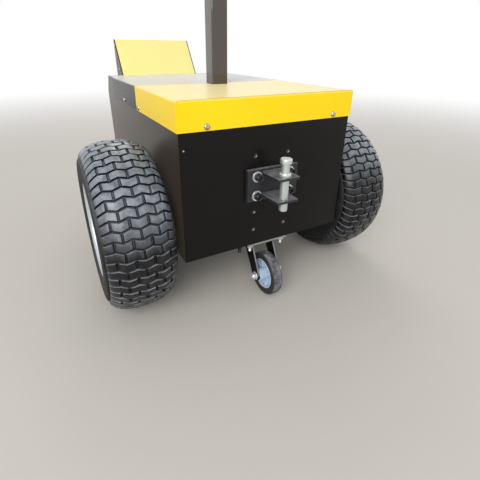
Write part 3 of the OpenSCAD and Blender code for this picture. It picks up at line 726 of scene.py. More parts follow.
class Form:
    """A mesh under construction, in millimetres in a frame of its own."""

    def __init__(self, place: Matrix | None = None) -> None:
        """Starts empty.

        Args:
            place: where the form's frame lies in the plan.
        """
        self.mesh = bmesh.new()
        self.place = place.copy() if place else Matrix.Identity(4)

    @classmethod
    def from_node(cls, node: str) -> "Form":
        """Copies a CAD node, with its triangles merged into its own flat faces."""
        form = cls()
        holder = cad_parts[node]
        form.mesh.from_mesh(holder.data)
        form.mesh.transform(FROM_ROW @ holder.matrix_world)
        bmesh.ops.remove_doubles(form.mesh, verts=form.mesh.verts, dist=0.003)
        flat = math.radians(0.25)
        bmesh.ops.dissolve_limit(form.mesh, angle_limit=flat, verts=form.mesh.verts, edges=form.mesh.edges)
        return form

    @classmethod
    def lofted(
        cls, loops: Sequence[Sequence[Point]], ring: bool = False, place: Matrix | None = None
    ) -> "Form":
        """Form lofted over closed outlines, as loft says, at a place in the plan."""
        form = cls(place)
        form.loft(loops, ring)
        return form

    @classmethod
    def turned_from(
        cls, profile: Sequence[Pair], steps: int, ring: bool = False, place: Matrix | None = None
    ) -> "Form":
        """Form turned on a lathe from one profile.

        Args:
            profile: radius and height about Z, along the skin.
            steps: spans round the axis.
            ring: whether the profile closes on itself.
            place: where the form's frame lies in the plan.
        Returns:
            The form.
        """
        return cls.lofted([circle(max(r, 1e-5), z, steps) for r, z in profile], ring, place)

    def loft(self, loops: Sequence[Sequence[Point]], ring: bool = False) -> None:
        """Joins closed outlines of equal count with quads, and closes the ends.

        Args:
            loops: the outlines in order.
            ring: whether the last joins the first, so that there are no ends.
        """
        rows = [[self.mesh.verts.new(p) for p in loop] for loop in loops]
        pairs = list(zip(rows, rows[1:])) + ([(rows[-1], rows[0])] if ring else [])
        for low, high in pairs:
            for i in range(len(low)):
                j = (i + 1) % len(low)
                self.mesh.faces.new((low[i], low[j], high[j], high[i]))
        if not ring:
            self.mesh.faces.new(list(reversed(rows[0])))
            self.mesh.faces.new(rows[-1])

    def block(self, low: Point, high: Point) -> None:
        """Box between two corners."""
        (x0, y0, z0), (x1, y1, z1) = low, high
        self.loft([[(x0, y0, z), (x1, y0, z), (x1, y1, z), (x0, y1, z)] for z in (z0, z1)])

    def sweep(self, path: Sequence[Vector], outline: Sequence[Pair], up: Vector) -> None:
        """Carries an outline along a path.

        Args:
            path: middle points.
            outline: section, across and along up.
            up: direction that the section's second axis keeps to.
        """
        along = rails(path, up, closed=False)
        self.loft([[tuple(here + across * a + rise * b) for a, b in outline] for here, across, rise in along])

    def bead(
        self, path: Sequence[Vector], radius: float, up: Vector, closed: bool = False, seed: int = 3
    ) -> None:
        """Weld bead with its ripples along a path.

        Args:
            path: middle points.
            radius: radius of the bead.
            up: direction out of the joint.
            closed: whether the path joins itself.
            seed: seed of the ripples.
        """
        draw = random.Random(seed)
        turns = [(math.cos(math.tau * k / 8), math.sin(math.tau * k / 8)) for k in range(8)]
        loops = []
        for i, (here, across, rise) in enumerate(rails(path, up, closed)):
            thick = radius * (1.0 + 0.13 * (i % 2) + draw.uniform(-0.06, 0.06))
            loops.append([tuple(here + across * thick * a + rise * thick * b) for a, b in turns])
        self.loft(loops, ring=closed)

    def turn(self, degrees: float) -> None:
        """Turns the form about Z."""
        matrix = Matrix.Rotation(math.radians(degrees), 3, "Z")
        bmesh.ops.rotate(self.mesh, verts=self.mesh.verts, cent=(0, 0, 0), matrix=matrix)

    def shift(self, x: float, y: float, z: float) -> None:
        """Moves the form."""
        bmesh.ops.translate(self.mesh, verts=self.mesh.verts, vec=(x, y, z))

    def tidy(self) -> None:
        """Merges doubles and turns the faces outwards."""
        bmesh.ops.remove_doubles(self.mesh, verts=self.mesh.verts, dist=0.002)
        bmesh.ops.dissolve_degenerate(self.mesh, edges=self.mesh.edges, dist=0.0005)
        bmesh.ops.recalc_face_normals(self.mesh, faces=self.mesh.faces)

    def plain(self) -> bpy.types.Mesh:
        """The form as a mesh, merged and turned outwards, still in its own frame."""
        self.tidy()
        mesh = bpy.data.meshes.new("form")
        self.mesh.to_mesh(mesh)
        return mesh

    def join(self, other: "Form") -> None:
        """Adds another form as it is."""
        self.mesh.from_mesh(other.plain())

    def join_ring(self, part: "Form", count: int, finish: Finish, start: float = 0.0) -> None:
        """Adds copies of a part, turned evenly about Z.

        Args:
            part: the part, in this form's frame.
            count: number of copies.
            finish: its finish.
            start: turn of the first copy in degrees.
        """
        keys = REPEATER.ring_keys
        values = {keys["Count"]: count, keys["Start"]: math.radians(start), keys["Finish"]: finish.material()}
        self.mesh.from_mesh(REPEATER.run(part.plain(), REPEATER.ring, values))

    def join_stood(
        self, part: "Form", places: Iterable[Place], finish: Finish, spin: float = 360.0, seed: int = 7
    ) -> None:
        """Adds a part at each place, its Z along the place's aim.

        Args:
            part: the part, standing on its own origin.
            places: where and in which direction each stands.
            finish: its finish.
            spin: widest random turn about the aim in degrees.
            seed: seed of the turns.
        """
        spots = bpy.data.meshes.new("places")
        listed = list(places)
        spots.from_pydata([spot for spot, _ in listed], [], [])
        aims = spots.attributes.new("aim", "FLOAT_VECTOR", "POINT")
        for i, (_, aim) in enumerate(listed):
            aims.data[i].vector = aim
        holder = held("part_holder", part.plain())
        keys = REPEATER.scatter_keys
        values = {
            keys["Part"]: holder,
            keys["Spin"]: math.radians(spin),
            keys["Seed"]: seed,
            keys["Finish"]: finish.material(),
        }
        self.mesh.from_mesh(REPEATER.run(spots, REPEATER.scatter, values))
        bpy.data.objects.remove(holder)

    def cut(self, tool: "Form") -> None:
        """Takes another form away from this one."""
        holders = [held("cut_body", self.plain()), held("cut_tool", tool.plain())]
        modifier = holders[0].modifiers.new("cut", "BOOLEAN")
        modifier.operation, modifier.solver, modifier.object = "DIFFERENCE", "EXACT", holders[1]
        result = plain_mesh(holders[0])
        self.mesh.clear()
        self.mesh.from_mesh(result)
        for holder in holders:
            bpy.data.objects.remove(holder)

    def soften(self, width: float, segments: int = 2, least: float = 30.0) -> None:
        """Bevels every edge that turns by more than an angle.

        Args:
            width: width of the bevel.
            segments: spans across it.
            least: smallest turn in degrees.
        """
        self.tidy()
        turn = math.radians(least)
        edges = [e for e in self.mesh.edges if len(e.link_faces) == 2 and e.calc_face_angle(0.0) > turn]
        bmesh.ops.bevel(
            self.mesh,
            geom=edges,
            offset=width,
            segments=segments,
            profile=0.5,
            affect="EDGES",
            clamp_overlap=True,
        )

    def piece(
        self, name: str, finish: Finish, slot: str, body: str = "chassis", replaces: Sequence[str] = (),
        sharp: float = 38.0,
    ) -> None:
        """Turns the form into a finished piece that rides on a body.

        Args:
            name: name of the piece.
            finish: its finish, which it has all over.
            slot: the record's material slot; not used.
            body: body that it rides on.
            replaces: CAD nodes that it stands for.
            sharp: turn in degrees past which an edge is kept sharp.
        """
        self.tidy()
        self.mesh.transform(TO_ROW @ self.place)
        for face in self.mesh.faces:
            face.smooth = True
        for edge in self.mesh.edges:
            edge.smooth = len(edge.link_faces) == 2 and edge.calc_face_angle(0.0) < math.radians(sharp)
        data = bpy.data.meshes.new(name)
        self.mesh.to_mesh(data)
        self.mesh.free()
        data.materials.clear()
        data.materials.append(finish.material())
        made = held(name, data)
        even = made.modifiers.new("even_normals", "WEIGHTED_NORMAL")
        even.keep_sharp = True
        made.data = plain_mesh(made)
        made.modifiers.clear()
        made.data.name = name
        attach(made, body)
        if replaces:
            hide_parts(*replaces)
        log.info("%s: %d faces on %s", name, len(made.data.polygons), body)


def stand_parts(
    name: str, part: Form, places: Iterable[Place], finish: Finish, slot: str, replaces: Sequence[str] = (),
    place: Matrix | None = None, spin: float = 360.0,
) -> None:
    """Makes one piece of the chassis from a part that stands at each place.

    Args:
        name: name of the piece.
        part: the part, standing on its own origin.
        places: where and in which direction each stands.
        finish: its finish.
        slot: the record's material slot.
        replaces: CAD nodes that it stands for.
        place: frame of the places.
        spin: widest random turn about the aim in degrees.
    """
    form = Form(place)
    form.join_stood(part, places, finish, spin)
    form.piece(name, finish, slot, replaces=replaces)


def dress_node(node: str, finish: Finish, slot: str, width: float, body: str = "chassis") -> None:
    """Stands a merged copy with softened edges in for a CAD node.

    Args:
        node: the CAD node.
        finish: its finish.
        slot: the record's material slot.
        width: width of the softened edges.
        body: body that it rides on.
    """
    form = Form.from_node(node)
    form.soften(width)
    form.piece(f"{node}_dressed", finish, slot, body, replaces=(node,))


def paint_node(node: str, finish: Finish) -> None:
    """Gives a CAD node that stays its finish."""
    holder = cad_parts[node]
    for slot in holder.material_slots:
        slot.material = finish.material()
    log.info("%s: painted in place", node)


# Fasteners


@dataclass(frozen=True)
class Fasteners:
    """Screws, nuts and washers, each standing on its own origin with Z out of the surface."""

    steps: int = 24
    knurl_teeth: int = 96
    knurl_depth: float = 0.32
    edge: float = 0.3
    thread_pitch: float = 1.5

    def button_screw(self, radius: float, height: float, socket: float) -> Form:
        """Domed head with a hexagon socket.

        Args:
            radius: radius of the head.
            height: height of the dome.
            socket: width of the socket across its flats.
        Returns:
            The screw's form.
        """
        n = self.steps
        dome = [(1.0, -0.4), (1.0, 0.12), (0.95, 0.42), (0.82, 0.72), (0.62, 0.93), (0.46, 1.0)]
        loops = [circle(radius * a, height * b, n) for a, b in dome]
        loops += [hexagon(socket, height, n), hexagon(socket, height * 0.35, n)]
        return Form.lofted([*loops, circle(0.01, height * 0.3, n)])

    def knurled(self, radius: float, z: float) -> list[Point]:
        """Ring with the knurl's teeth."""
        ring = []
        for i, (x, y, _) in enumerate(circle(1.0, z, self.knurl_teeth)):
            reach = radius - (self.knurl_depth if i % 2 else 0.0)
            ring.append((x * reach, y * reach, z))
        return ring

    def cap_screw(self, radius: float, height: float, socket: float, depth: float) -> Form:
        """Knurled cylinder head with a hexagon socket.

        Args:
            radius: radius of the head.
            height: height of the head.
            socket: width of the socket across its flats.
            depth: depth of the socket.
        Returns:
            The screw's form.
        """
        n = self.knurl_teeth
        loops = [circle(radius - 0.6, 0, n), self.knurled(radius, 0.5), self.knurled(radius, height - 1.2)]
        loops += [circle(radius - 1.1, height, n), circle(socket / 2 + 1.2, height, n)]
        loops += [hexagon(socket, height - 0.7, n), hexagon(socket, height - depth, n)]
        loops += [circle(0.01, height - depth - 1.2, n)]
        return Form.lofted(loops)

    def washer(self, radius: float, bore: float, thick: float) -> Form:
        """Flat washer with rounded edges."""
        edge = self.edge
        outer = [(radius - edge, 0), (radius, edge), (radius, thick - edge), (radius - edge, thick)]
        inner = [(bore + edge, thick), (bore, thick - edge), (bore, 0)]
        return Form.turned_from(outer + inner, 48, ring=True)

    def nut_and_end(self, across: float, height: float, bolt: float, reach: float) -> Form:
        """Hexagon nut with the thread's end standing out of it.

        Args:
            across: width across the flats.
            height: height of the nut.
            bolt: radius of the bolt.
            reach: length of bolt past the nut.
        Returns:
            The form.
        """
        n = self.steps
        crown = across / 2 * 0.97
        loops = [circle(crown, 0, n), hexagon(across, height * 0.12, n), hexagon(across, height * 0.88, n)]
        rings = (crown, height), (bolt + 0.9, height), (bolt - 0.2, height - 0.7)
        loops += [circle(r, z, n) for r, z in rings]
        turns = max(1, int(reach / self.thread_pitch))
        for i in range(turns):
            z = height + i * reach / turns
            loops += [circle(bolt - 0.55, z + 0.1, n), circle(bolt, z + 0.75, n)]
        loops += [circle(bolt - 0.9, height + reach, n)]
        return Form.lofted(loops)

    def hex_head(self, across: float, height: float) -> Form:
        """Hexagon head, chamfered on top."""
        n = self.steps
        loops = [hexagon(across, 0, n), hexagon(across, height * 0.82, n)]
        loops += [circle(across / 2 * 0.95, height, n), circle(0.01, height, n)]
        return Form.lofted(loops)


FASTENERS = Fasteners()


# Body


@dataclass(frozen=True)
class Body:
    """Box body with its lid, deck cover and panel screws."""

    half_width: float = 220.0
    length: float = 722.0
    sheet: float = 2.5
    lid_screw_x: Pair = (-160.0, 167.0)
    flange_screw_z: float = 456.0
    side_screw_y: tuple[float, ...] = (283.5, 445.0)
    rivet_at: Point = (-210.0, 0.0, 412.0)
    deck_z: float = 510.0
    underside_z: float = 155.0
    seam_r: float = 5.0
    seam_half: float = 0.4
    floor_bolt_x: float = 178.0
    floor_bolt_y: tuple[float, ...] = (110.0, 250.0, 400.0, 560.0)
    end_bolts: tuple[Pair, ...] = ((-78.0, 706.0), (78.0, 706.0))
    hitch_bolt: Pair = (-74.0, 13.0)
    louvre_x: tuple[float, ...] = (-95.0, 0.0, 95.0)
    louvre_z: tuple[float, ...] = (215.0, 231.0, 247.0, 263.0, 279.0, 295.0)

    def build(self) -> None:
        """Makes the panels, covers and their screws."""
        for node in ("hitch_panel", "side_panel_left", "side_panel_right", "end_panel", "floor_plate"):
            dress_node(node, BLACK_POWDER, "black_powder", width=0.7)
        dress_node("lid", YELLOW_POWDER, "yellow_powder", width=0.5)
        dress_node("deck_cover", BLACK_GLOSS, "black_gloss", width=0.5)
        paint_node("battery", BATTERY_BOX)
        paint_node("drive_unit", CAST_IRON)
        self.panel_screws()
        self.lid_seam()
        self.corner_rivet()
        self.floor_bolts()
        self.end_louvres()

    def panel_screws(self) -> None:
        """Button screws round the lid and the deck cover."""
        face, z = self.half_width + self.sheet, self.flange_screw_z
        places = [((x, -self.sheet, z), TO_HITCH) for x in self.lid_screw_x]
        for side in Side:
            places += [((side.value * face, y, z), (float(side.value), 0.0, 0.0)) for y in self.side_screw_y]
        screw = FASTENERS.button_screw(radius=6.6, height=3.6, socket=4.0)
        stand_parts("panel_screws", screw, places, STAINLESS, "zinc")

    def lid_seam(self) -> None:
        """Thin darker strip along the lid's top front edge and round the left corner: painted shade of the
        bend.
        """
        reach, front, r = self.half_width + self.sheet - 2.2, -self.sheet - 0.02, self.seam_r
        top = self.deck_z - 1.6
        path = [Vector((-reach, front, top - 2 * r)), Vector((-reach, front, top - r))]
        for t in (math.radians(a) for a in range(15, 91, 15)):
            path.append(Vector((-reach + r - r * math.cos(t), front, top - r + r * math.sin(t))))
        path.append(Vector((reach + 2.0, front, top)))
        form = Form()
        form.sweep(path, flat_strip(self.seam_half, 0.05), Vector(TO_HITCH))
        form.piece("lid_seam", BEND_SHADE, "yellow_powder")

    def corner_rivet(self) -> None:
        """Small rivet in the hitch panel's corner."""
        rivet = FASTENERS.button_screw(radius=2.0, height=0.9, socket=1.2)
        stand_parts("corner_rivet", rivet, [(self.rivet_at, TO_HITCH)], STAINLESS, "zinc")

    def floor_bolts(self) -> None:
        """Nuts and bolt ends under the floor plate; the one near the hitch is longer and black oxide, a
        painted shade of that bolt in the body's shadow.
        """
        spots = [(x, y) for y in self.floor_bolt_y for x in (-self.floor_bolt_x, self.floor_bolt_x)]
        for name, finish, listed, height, reach in (
            ("floor_bolts", DULL_ZINC, [*spots, *self.end_bolts], 6.5, 5.5),
            # Black oxide on the bolt near the hitch paints its shade under the body.
            ("floor_bolt_blacked", BLACK_OXIDE, [self.hitch_bolt], 6.0, 17.0),
        ):
            nut = FASTENERS.nut_and_end(across=13.0, height=height, bolt=4.0, reach=reach)
            stand_parts(name, nut, [((x, y, self.underside_z), DOWN) for x, y in listed], finish, "zinc")

    def end_louvres(self) -> None:
        """Pressed louvres that air the drive, low on the end wall."""
        half_x, half_z = 34.0, 4.4
        outline = rounded_rectangle(half_x, 4.0, 3.9, 4)
        loops = []
        for rise, shrink in ((-0.5, 0.0), (1.2, 0.3), (2.4, 1.4), (2.9, 2.6)):
            wide, tall = 1 - shrink / half_x, 1 - shrink / half_z
            loops.append([(a * wide, b * tall, rise) for a, b in outline])
        louvre = Form.lofted(loops)
        places = [((x, self.length, z), TO_OPERATOR) for z in self.louvre_z for x in self.louvre_x]
        stand_parts("end_wall_louvres", louvre, places, BLACK_POWDER, "black_powder", spin=0.0)


# Drive wheels


@dataclass(frozen=True)
class TyreSection:
    """Outer skin of the tyre, as in the part: a full oval over the belt and a flatter one under it.

    Args:
        radius: radius of the crown.
        belt: radius of the widest line.
        tuck: height of the lower oval.
        half: half of the width.
        full: fullness of both ovals, 2 for an ellipse.
        lip: radius at which the tyre meets the rim's flange.
        bead_z: half of the width over the beads.
        seat: radius of the bead seats.
    """

    radius: float = 203.0
    belt: float = 203.0 - 160.0 / 3
    tuck: float = 68.667
    half: float = 78.6
    full: float = 2.5
    lip: float = 114.3
    bead_z: float = 68.2
    seat: float = 101.8

    def skin(self, turn: float) -> Pair:
        """Half width and radius at an angle: 90 degrees is the crown, 0 the widest line."""
        high = self.radius - self.belt if turn >= 0 else self.tuck
        lift = math.copysign(abs(math.sin(math.radians(turn))) ** (2 / self.full), turn)
        return self.half * abs(math.cos(math.radians(turn))) ** (2 / self.full), self.belt + high * lift

    def run(self, steps: int = 900) -> list[Point]:
        """Dense points from the crown to the rim: length along the skin, half width, radius."""
        low = -math.degrees(math.asin(((self.belt - self.lip) / self.tuck) ** (self.full / 2)))
        points = [self.skin(90 - (90 - low) * i / steps) for i in range(steps + 1)]
        listed, length = [(0.0, *points[0])], 0.0
        for a, b in zip(points, points[1:]):
            length += math.dist(a, b)
            listed.append((length, *b))
        return listed


class TyreSkin:
    """Reads the tyre's section by the length along it from the crown."""

    def __init__(self, section: TyreSection) -> None:
        """Measures the section once."""
        self.table = section.run()
        self.lengths = [row[0] for row in self.table]
        self.length = self.lengths[-1]

    def at(self, s: float, depth: float) -> Pair:
        """Point of the section.

        Args:
            s: length from the crown, negative on the other side.
            depth: depth under the skin.
        Returns:
            Radius and place along the axle.
        """
        want = min(abs(s), self.length)
        low = min(bisect_right(self.lengths, want), len(self.table) - 1) - 1
        (s0, x0, r0), (s1, x1, r1) = self.table[low], self.table[low + 1]
        share = (want - s0) / (s1 - s0)
        length = math.hypot(x1 - x0, r1 - r0)
        along_x, along_r = (x1 - x0) / length, (r1 - r0) / length
        x = x0 + (x1 - x0) * share + along_r * depth
        r = r0 + (r1 - r0) * share - along_x * depth
        return r, math.copysign(x, s)


# Radius and place along the axle, out from the middle of the tyre.
RIM_HALF = [
    (88.5, 12.4), (101.5, 22.0), (101.5, 66.5), (102.6, 68.4), (112.4, 68.5), (113.4, 69.2), (114.6, 70.4),
    (114.9, 72.0), (114.0, 73.2), (112.4, 73.2), (110.9, 72.0), (104.2, 71.6), (100.8, 70.4), (98.9, 68.0),
    (98.5, 64.0), (98.5, 48.0), (97.7, 46.6), (97.7, 40.0), (98.5, 38.6), (98.5, 24.0), (85.5, 12.6),
]
RIM_DISC = [
    (33.0, 24.2), (33.0, 28.4), (33.8, 29.0), (62.0, 29.0), (65.0, 30.4), (67.0, 33.0), (70.0, 34.4),
    (74.0, 34.4), (76.5, 33.0), (78.5, 30.6), (81.0, 29.2), (97.6, 29.0), (97.6, 24.4), (81.0, 24.4),
    (76.0, 27.0), (73.0, 29.8), (70.5, 29.8), (66.5, 25.4), (62.0, 24.2),
]
VALVE = [
    (0, -14.0), (4.4, -14.0), (4.6, 4.0), (3.9, 6.5), (3.4, 18.0), (4.1, 18.4), (4.1, 19.2), (4.6, 19.4),
    (4.6, 27.0), (3.9, 28.6), (0, 28.8),
]
GREASE_CAP = [
    (0, 45.0), (27.0, 45.0), (27.0, 46.6), (25.6, 47.4), (24.6, 49.6), (24.2, 54.0), (22.4, 57.4),
    (18.0, 59.2), (8.0, 60.0), (0, 60.1),
]


@dataclass(frozen=True)
class Tread:
    """Turf tread: rows of staggered chevron blocks, with a groove round the tyre between each two blocks.

    Args:
        section: the tyre's section.
        rows: rows of blocks round the tyre.
        block_w: width of a block across the tread.
        zigzag: how far a cross groove swings.
        edge_slope: how fast the outer blocks lean back.
        cross_groove: width of a groove across the tread.
        long_groove: width of a groove round the tyre.
        groove_depth: depth of a groove across the tread.
        long_depth: depth of a groove round the tyre.
        end: length along the skin from the crown to the tread's end.
        shoulder: length from the crown at which the blocks start to sink into the sidewall.
        kink: length from the crown at which the outer blocks get an extra line of points.
        column_w: width between the lines of points in a block.
    """

    section: TyreSection = TyreSection()
    rows: int = 60
    block_w: float = 36.5
    zigzag: float = 5.6
    edge_slope: float = 0.27
    cross_groove: float = 4.4
    long_groove: float = 5.2
    groove_depth: float = 5.5
    long_depth: float = 3.0
    end: float = 89.0
    shoulder: float = 80.0
    kink: float = 71.0
    column_w: float = 7.0

    def sway(self, s: float) -> float:
        """How far a cross groove swings at a place across the tread."""
        reach = abs(s)
        edge = 1.5 * self.block_w
        if reach > edge:
            return self.zigzag / 2 - (reach - edge) * self.edge_slope
        share = (reach / self.block_w) % 1.0
        return self.zigzag * (1 - abs(1 - 2 * share)) - self.zigzag / 2

    def sunk_at(self, s: float) -> float:
        """How far a block has sunk into the sidewall at a place across the tread."""
        fade = 1.0 - 0.75 * max(0.0, (abs(s) - self.shoulder) / (self.end - self.shoulder))
        return (1.0 - fade) * self.groove_depth

    def columns(self, span: Pair) -> list[float]:
        """Lines of points across a block: its ends, the zigzag's corners and steps between them."""
        left, right = span
        corners = [k * self.block_w / 2 for k in range(-3, 4)] + [-self.kink, self.kink]
        ordered = sorted({left, right, *(c for c in corners if left + 1 < c < right - 1)})
        listed = []
        for a, b in zip(ordered, ordered[1:]):
            parts = max(1, round((b - a) / self.column_w))
            listed += [a + (b - a) * i / parts for i in range(parts)]
        return [*listed, ordered[-1]]

    def two_rows(self, skin: TyreSkin) -> Form:
        """One repeat of the tread: two rows of blocks, the second set half a block over."""
        form = Form()
        height = form.mesh.verts.layers.float.new("height")
        row = math.tau * self.section.radius / self.rows
        p, end, half = self.block_w, self.end, self.long_groove / 2
        for index, inner in enumerate(((-p, 0.0, p), (-1.5 * p, -p / 2, p / 2, 1.5 * p))):
            edges = (-end, *inner, end)
            for left, right in zip(edges, edges[1:]):
                span = (left + (half if left > -end else 0.0), right - (half if right < end else 0.0))
                self.block(form, height, skin, span, (index * row, row))
            for s in inner:
                span = (s - half + 0.5, s + half - 0.5)
                self.block(form, height, skin, span, (index * row, row), self.long_depth, 0.45)
        return form

    def block(
        self, form: Form, height: object, skin: TyreSkin, span: Pair, row: Pair, sunk: float = 0.0,
        tone: float = 1.0,
    ) -> None:
        """One block of the tread, with sloped flanks and a small chamfer.

        Args:
            form: form that gets it.
            height: the layer that tells how high a point stands.
            skin: the tyre's skin.
            span: its two ends across the tread.
            row: start and length of its row round the tyre.
            sunk: depth of its top under the skin.
            tone: height that its top is given.
        """
        columns = self.columns(span)
        last = len(columns) - 1
        half = self.cross_groove / 2
        start, length = row
        lines = []
        for depth, inset, high in (
            (self.groove_depth + 1.2, -0.9, 0.0), (sunk + 0.9, 0.0, 0.85 * tone), (sunk, 1.0, tone)
        ):
            for across in (half + inset, length - half - inset):
                line = []
                for i, s in enumerate(columns):
                    at_s = s + (inset if i == 0 else -inset if i == last else 0.0)
                    r, z = skin.at(at_s, depth + self.sunk_at(s) if high else depth)
                    turn = (start + self.sway(s) + across) / self.section.radius
                    vert = form.mesh.verts.new((r * math.cos(turn), r * math.sin(turn), z))
                    vert[height] = high
                    line.append(vert)
                lines.append(line)
        loops = [low + up[::-1] for low, up in zip(lines[::2], lines[1::2])]
        count = len(loops[0])
        for low, high in zip(loops, loops[1:]):
            for i in range(count):
                j = (i + 1) % count
                form.mesh.faces.new((low[i], low[j], high[j], high[i]))
        for (low, up), flip in ((lines[4:], False), (lines[:2], True)):
            for i in range(last):
                face = (low[i], low[i + 1], up[i + 1], up[i])
                form.mesh.faces.new(face[::-1] if flip else face)


@dataclass(frozen=True)
class DriveWheel:
    """Drive wheel: turf tyre, silver rim, hub and the bearing behind it.

    Args:
        side: side of the tug.
        phase: turn of the tread's first row in degrees.
        rubber: finish of the tyre.
        floor_drop: how far the grooves' floor drops towards the shoulder.
        floor_half: half of the width over the grooves' floor.
        wall_high: height in the tread that the sidewall is given.
    """

    side: Side
    phase: float
    rubber: TreadRubber
    centre_x: float = 314.0
    axle_y: float = 163.0
    axle_z: float = 203.0
    panel_x: float = 220.0
    section: TyreSection = TyreSection()
    tread: Tread = Tread()
    wall_rings: Pair = (118.0, 141.0)
    ring_half: float = 1.6
    ring_h: float = 0.45
    floor_drop: float = 27.0
    floor_half: float = 71.0
    wall_high: float = 0.4
    vents: int = 5
    vent_r: float = 8.6
    vent_at: float = 88.0
    disc_edge: float = 97.2
    disc_face: float = 29.2
    weld_r: float = 1.6
    studs: int = 5
    stud_at: Point = (50.8, 0.0, 29.0)
    bearing_t: float = 8.0
    bearing_screw_at: float = 43.0

    @property
    def body(self) -> str:
        """Body that the wheel's pieces ride on."""
        return f"wheel_{self.side.word}"

    @property
    def place(self) -> Matrix:
        """Frame with Z outwards along the axle, from the middle of the tyre."""
        s = float(self.side.value)
        turn = Matrix(((0, 0, s, 0), (1, 0, 0, 0), (0, s, 0, 0), (0, 0, 0, 1)))
        return Matrix.Translation((s * self.centre_x, self.axle_y, self.axle_z)) @ turn

    def build(self) -> None:
        """Makes the wheel's pieces."""
        self.tyre()
        self.rim()
        self.valve()
        self.hub()
        self.nuts()
        self.bearing()

    def carcass(self, skin: TyreSkin) -> list[Pair]:
        """Profile of the tyre under its blocks: groove floor, sidewall with its rings, bead."""
        end, deep = self.tread.end, self.tread.groove_depth
        half = [skin.at(end / 9 * i, deep) for i in range(9)]
        start = end - 5.0
        s = start
        while s < skin.length - 0.5:
            share = min(1.0, max(0.0, (s - start) / 7.0))
            sunk = deep * (1 - share * share * (3 - 2 * share))
            on_ring = any(abs(s - ring) < self.ring_half for ring in self.wall_rings)
            half.append(skin.at(s, sunk + (0.0 if on_ring else self.ring_h * share)))
            s += 1.75
        half.append(skin.at(skin.length, 0.0))
        lip, bead, seat = self.section.lip, self.section.bead_z, self.section.seat
        half += [(lip, bead + 1.5), (lip - 0.4, bead), (seat + 1.5, bead), (seat, bead - 1.5)]
        return mirrored(half[1:]) + half

    def tyre(self) -> None:
        """Turf tyre: carcass with its staggered chevron blocks."""
        skin = TyreSkin(self.section)
        form = Form(self.place)
        height = form.mesh.verts.layers.float.new("height")
        form.loft([circle(r, z, 120) for r, z in self.carcass(skin)], ring=True)
        floor = self.section.radius - self.tread.groove_depth - self.floor_drop
        for vert in form.mesh.verts:
            in_groove = math.hypot(vert.co.x, vert.co.y) > floor and abs(vert.co.z) < self.floor_half
            vert[height] = 0.0 if in_groove else self.wall_high
        form.join_ring(self.tread.two_rows(skin), self.tread.rows // 2, self.rubber, self.phase)
        node = f"tyre_{self.side.word}"
        form.piece(f"{node}_turf", self.rubber, "tyre_rubber", self.body, replaces=(node,), sharp=50.0)

    def rim(self) -> None:
        """Pressed rim with rolled flanges, and its disc with vents, joined by a weld."""
        form = Form.turned_from(RIM_HALF + mirrored(RIM_HALF), 96, ring=True, place=self.place)
        disc = Form.turned_from(RIM_DISC, 96, ring=True)
        holes = Form()
        for i in range(self.vents):
            turn = math.radians(360 / self.vents * (i + 0.5))
            hole = Form.turned_from([(self.vent_r, 20.0), (self.vent_r, 40.0)], 24)
            hole.shift(self.vent_at * math.cos(turn), self.vent_at * math.sin(turn), 0.0)
            holes.join(hole)
        disc.cut(holes)
        disc.soften(0.5, 1, 50.0)
        form.join(disc)
        weld = Form()
        path = [Vector(p) for p in circle(self.disc_edge, self.disc_face, 120)]
        weld.bead(path, self.weld_r, UP, closed=True)
        form.join(weld)
        node = f"rim_{self.side.word}"
        form.piece(f"{node}_pressed", RIM_PAINT, "rim_silver", self.body, replaces=(node,))

    def valve(self) -> None:
        """Rubber valve stem with its cap, through the disc between two vents."""
        turn = Matrix.Rotation(math.radians(2 * 360 / self.vents), 4, "Z")
        valve = Form.turned_from(VALVE, 24, place=self.place @ turn @ Matrix.Translation((91.0, 0.0, 32.0)))
        valve.piece(f"valve_{self.side.word}", GRIP_RUBBER, "tyre_rubber", self.body)

    def hub(self) -> None:
        """Hub flange and shaft, with a grease cap on the boss."""
        dress_node(f"hub_{self.side.word}", TURNED_STEEL, "turned_steel", width=0.8, body=self.body)
        cap = Form.turned_from(GREASE_CAP, 48, place=self.place)
        cap.piece(f"grease_cap_{self.side.word}", BLACK_OXIDE, "turned_steel", self.body)

    def nuts(self) -> None:
        """Wheel nuts on the studs."""
        nut = FASTENERS.nut_and_end(across=19.0, height=13.0, bolt=6.0, reach=6.0)
        nut.shift(*self.stud_at)
        form = Form(self.place)
        form.join_ring(nut, self.studs, DULL_ZINC)
        form.piece(f"wheel_nuts_{self.side.word}", DULL_ZINC, "zinc", self.body)

    def bearing(self) -> None:
        """Cast flange bearing on the side panel, with its four screws."""
        dress_node(f"bearing_{self.side.word}", CAST_IRON, "cast_iron", width=1.2)
        head = FASTENERS.hex_head(across=15.0, height=6.0)
        head.shift(self.bearing_screw_at, 0.0, -(self.centre_x - self.panel_x - self.bearing_t))
        form = Form(self.place)
        form.join_ring(head, 4, DULL_ZINC, start=45.0)
        form.piece(f"bearing_screws_{self.side.word}", DULL_ZINC, "zinc")


# Hitch


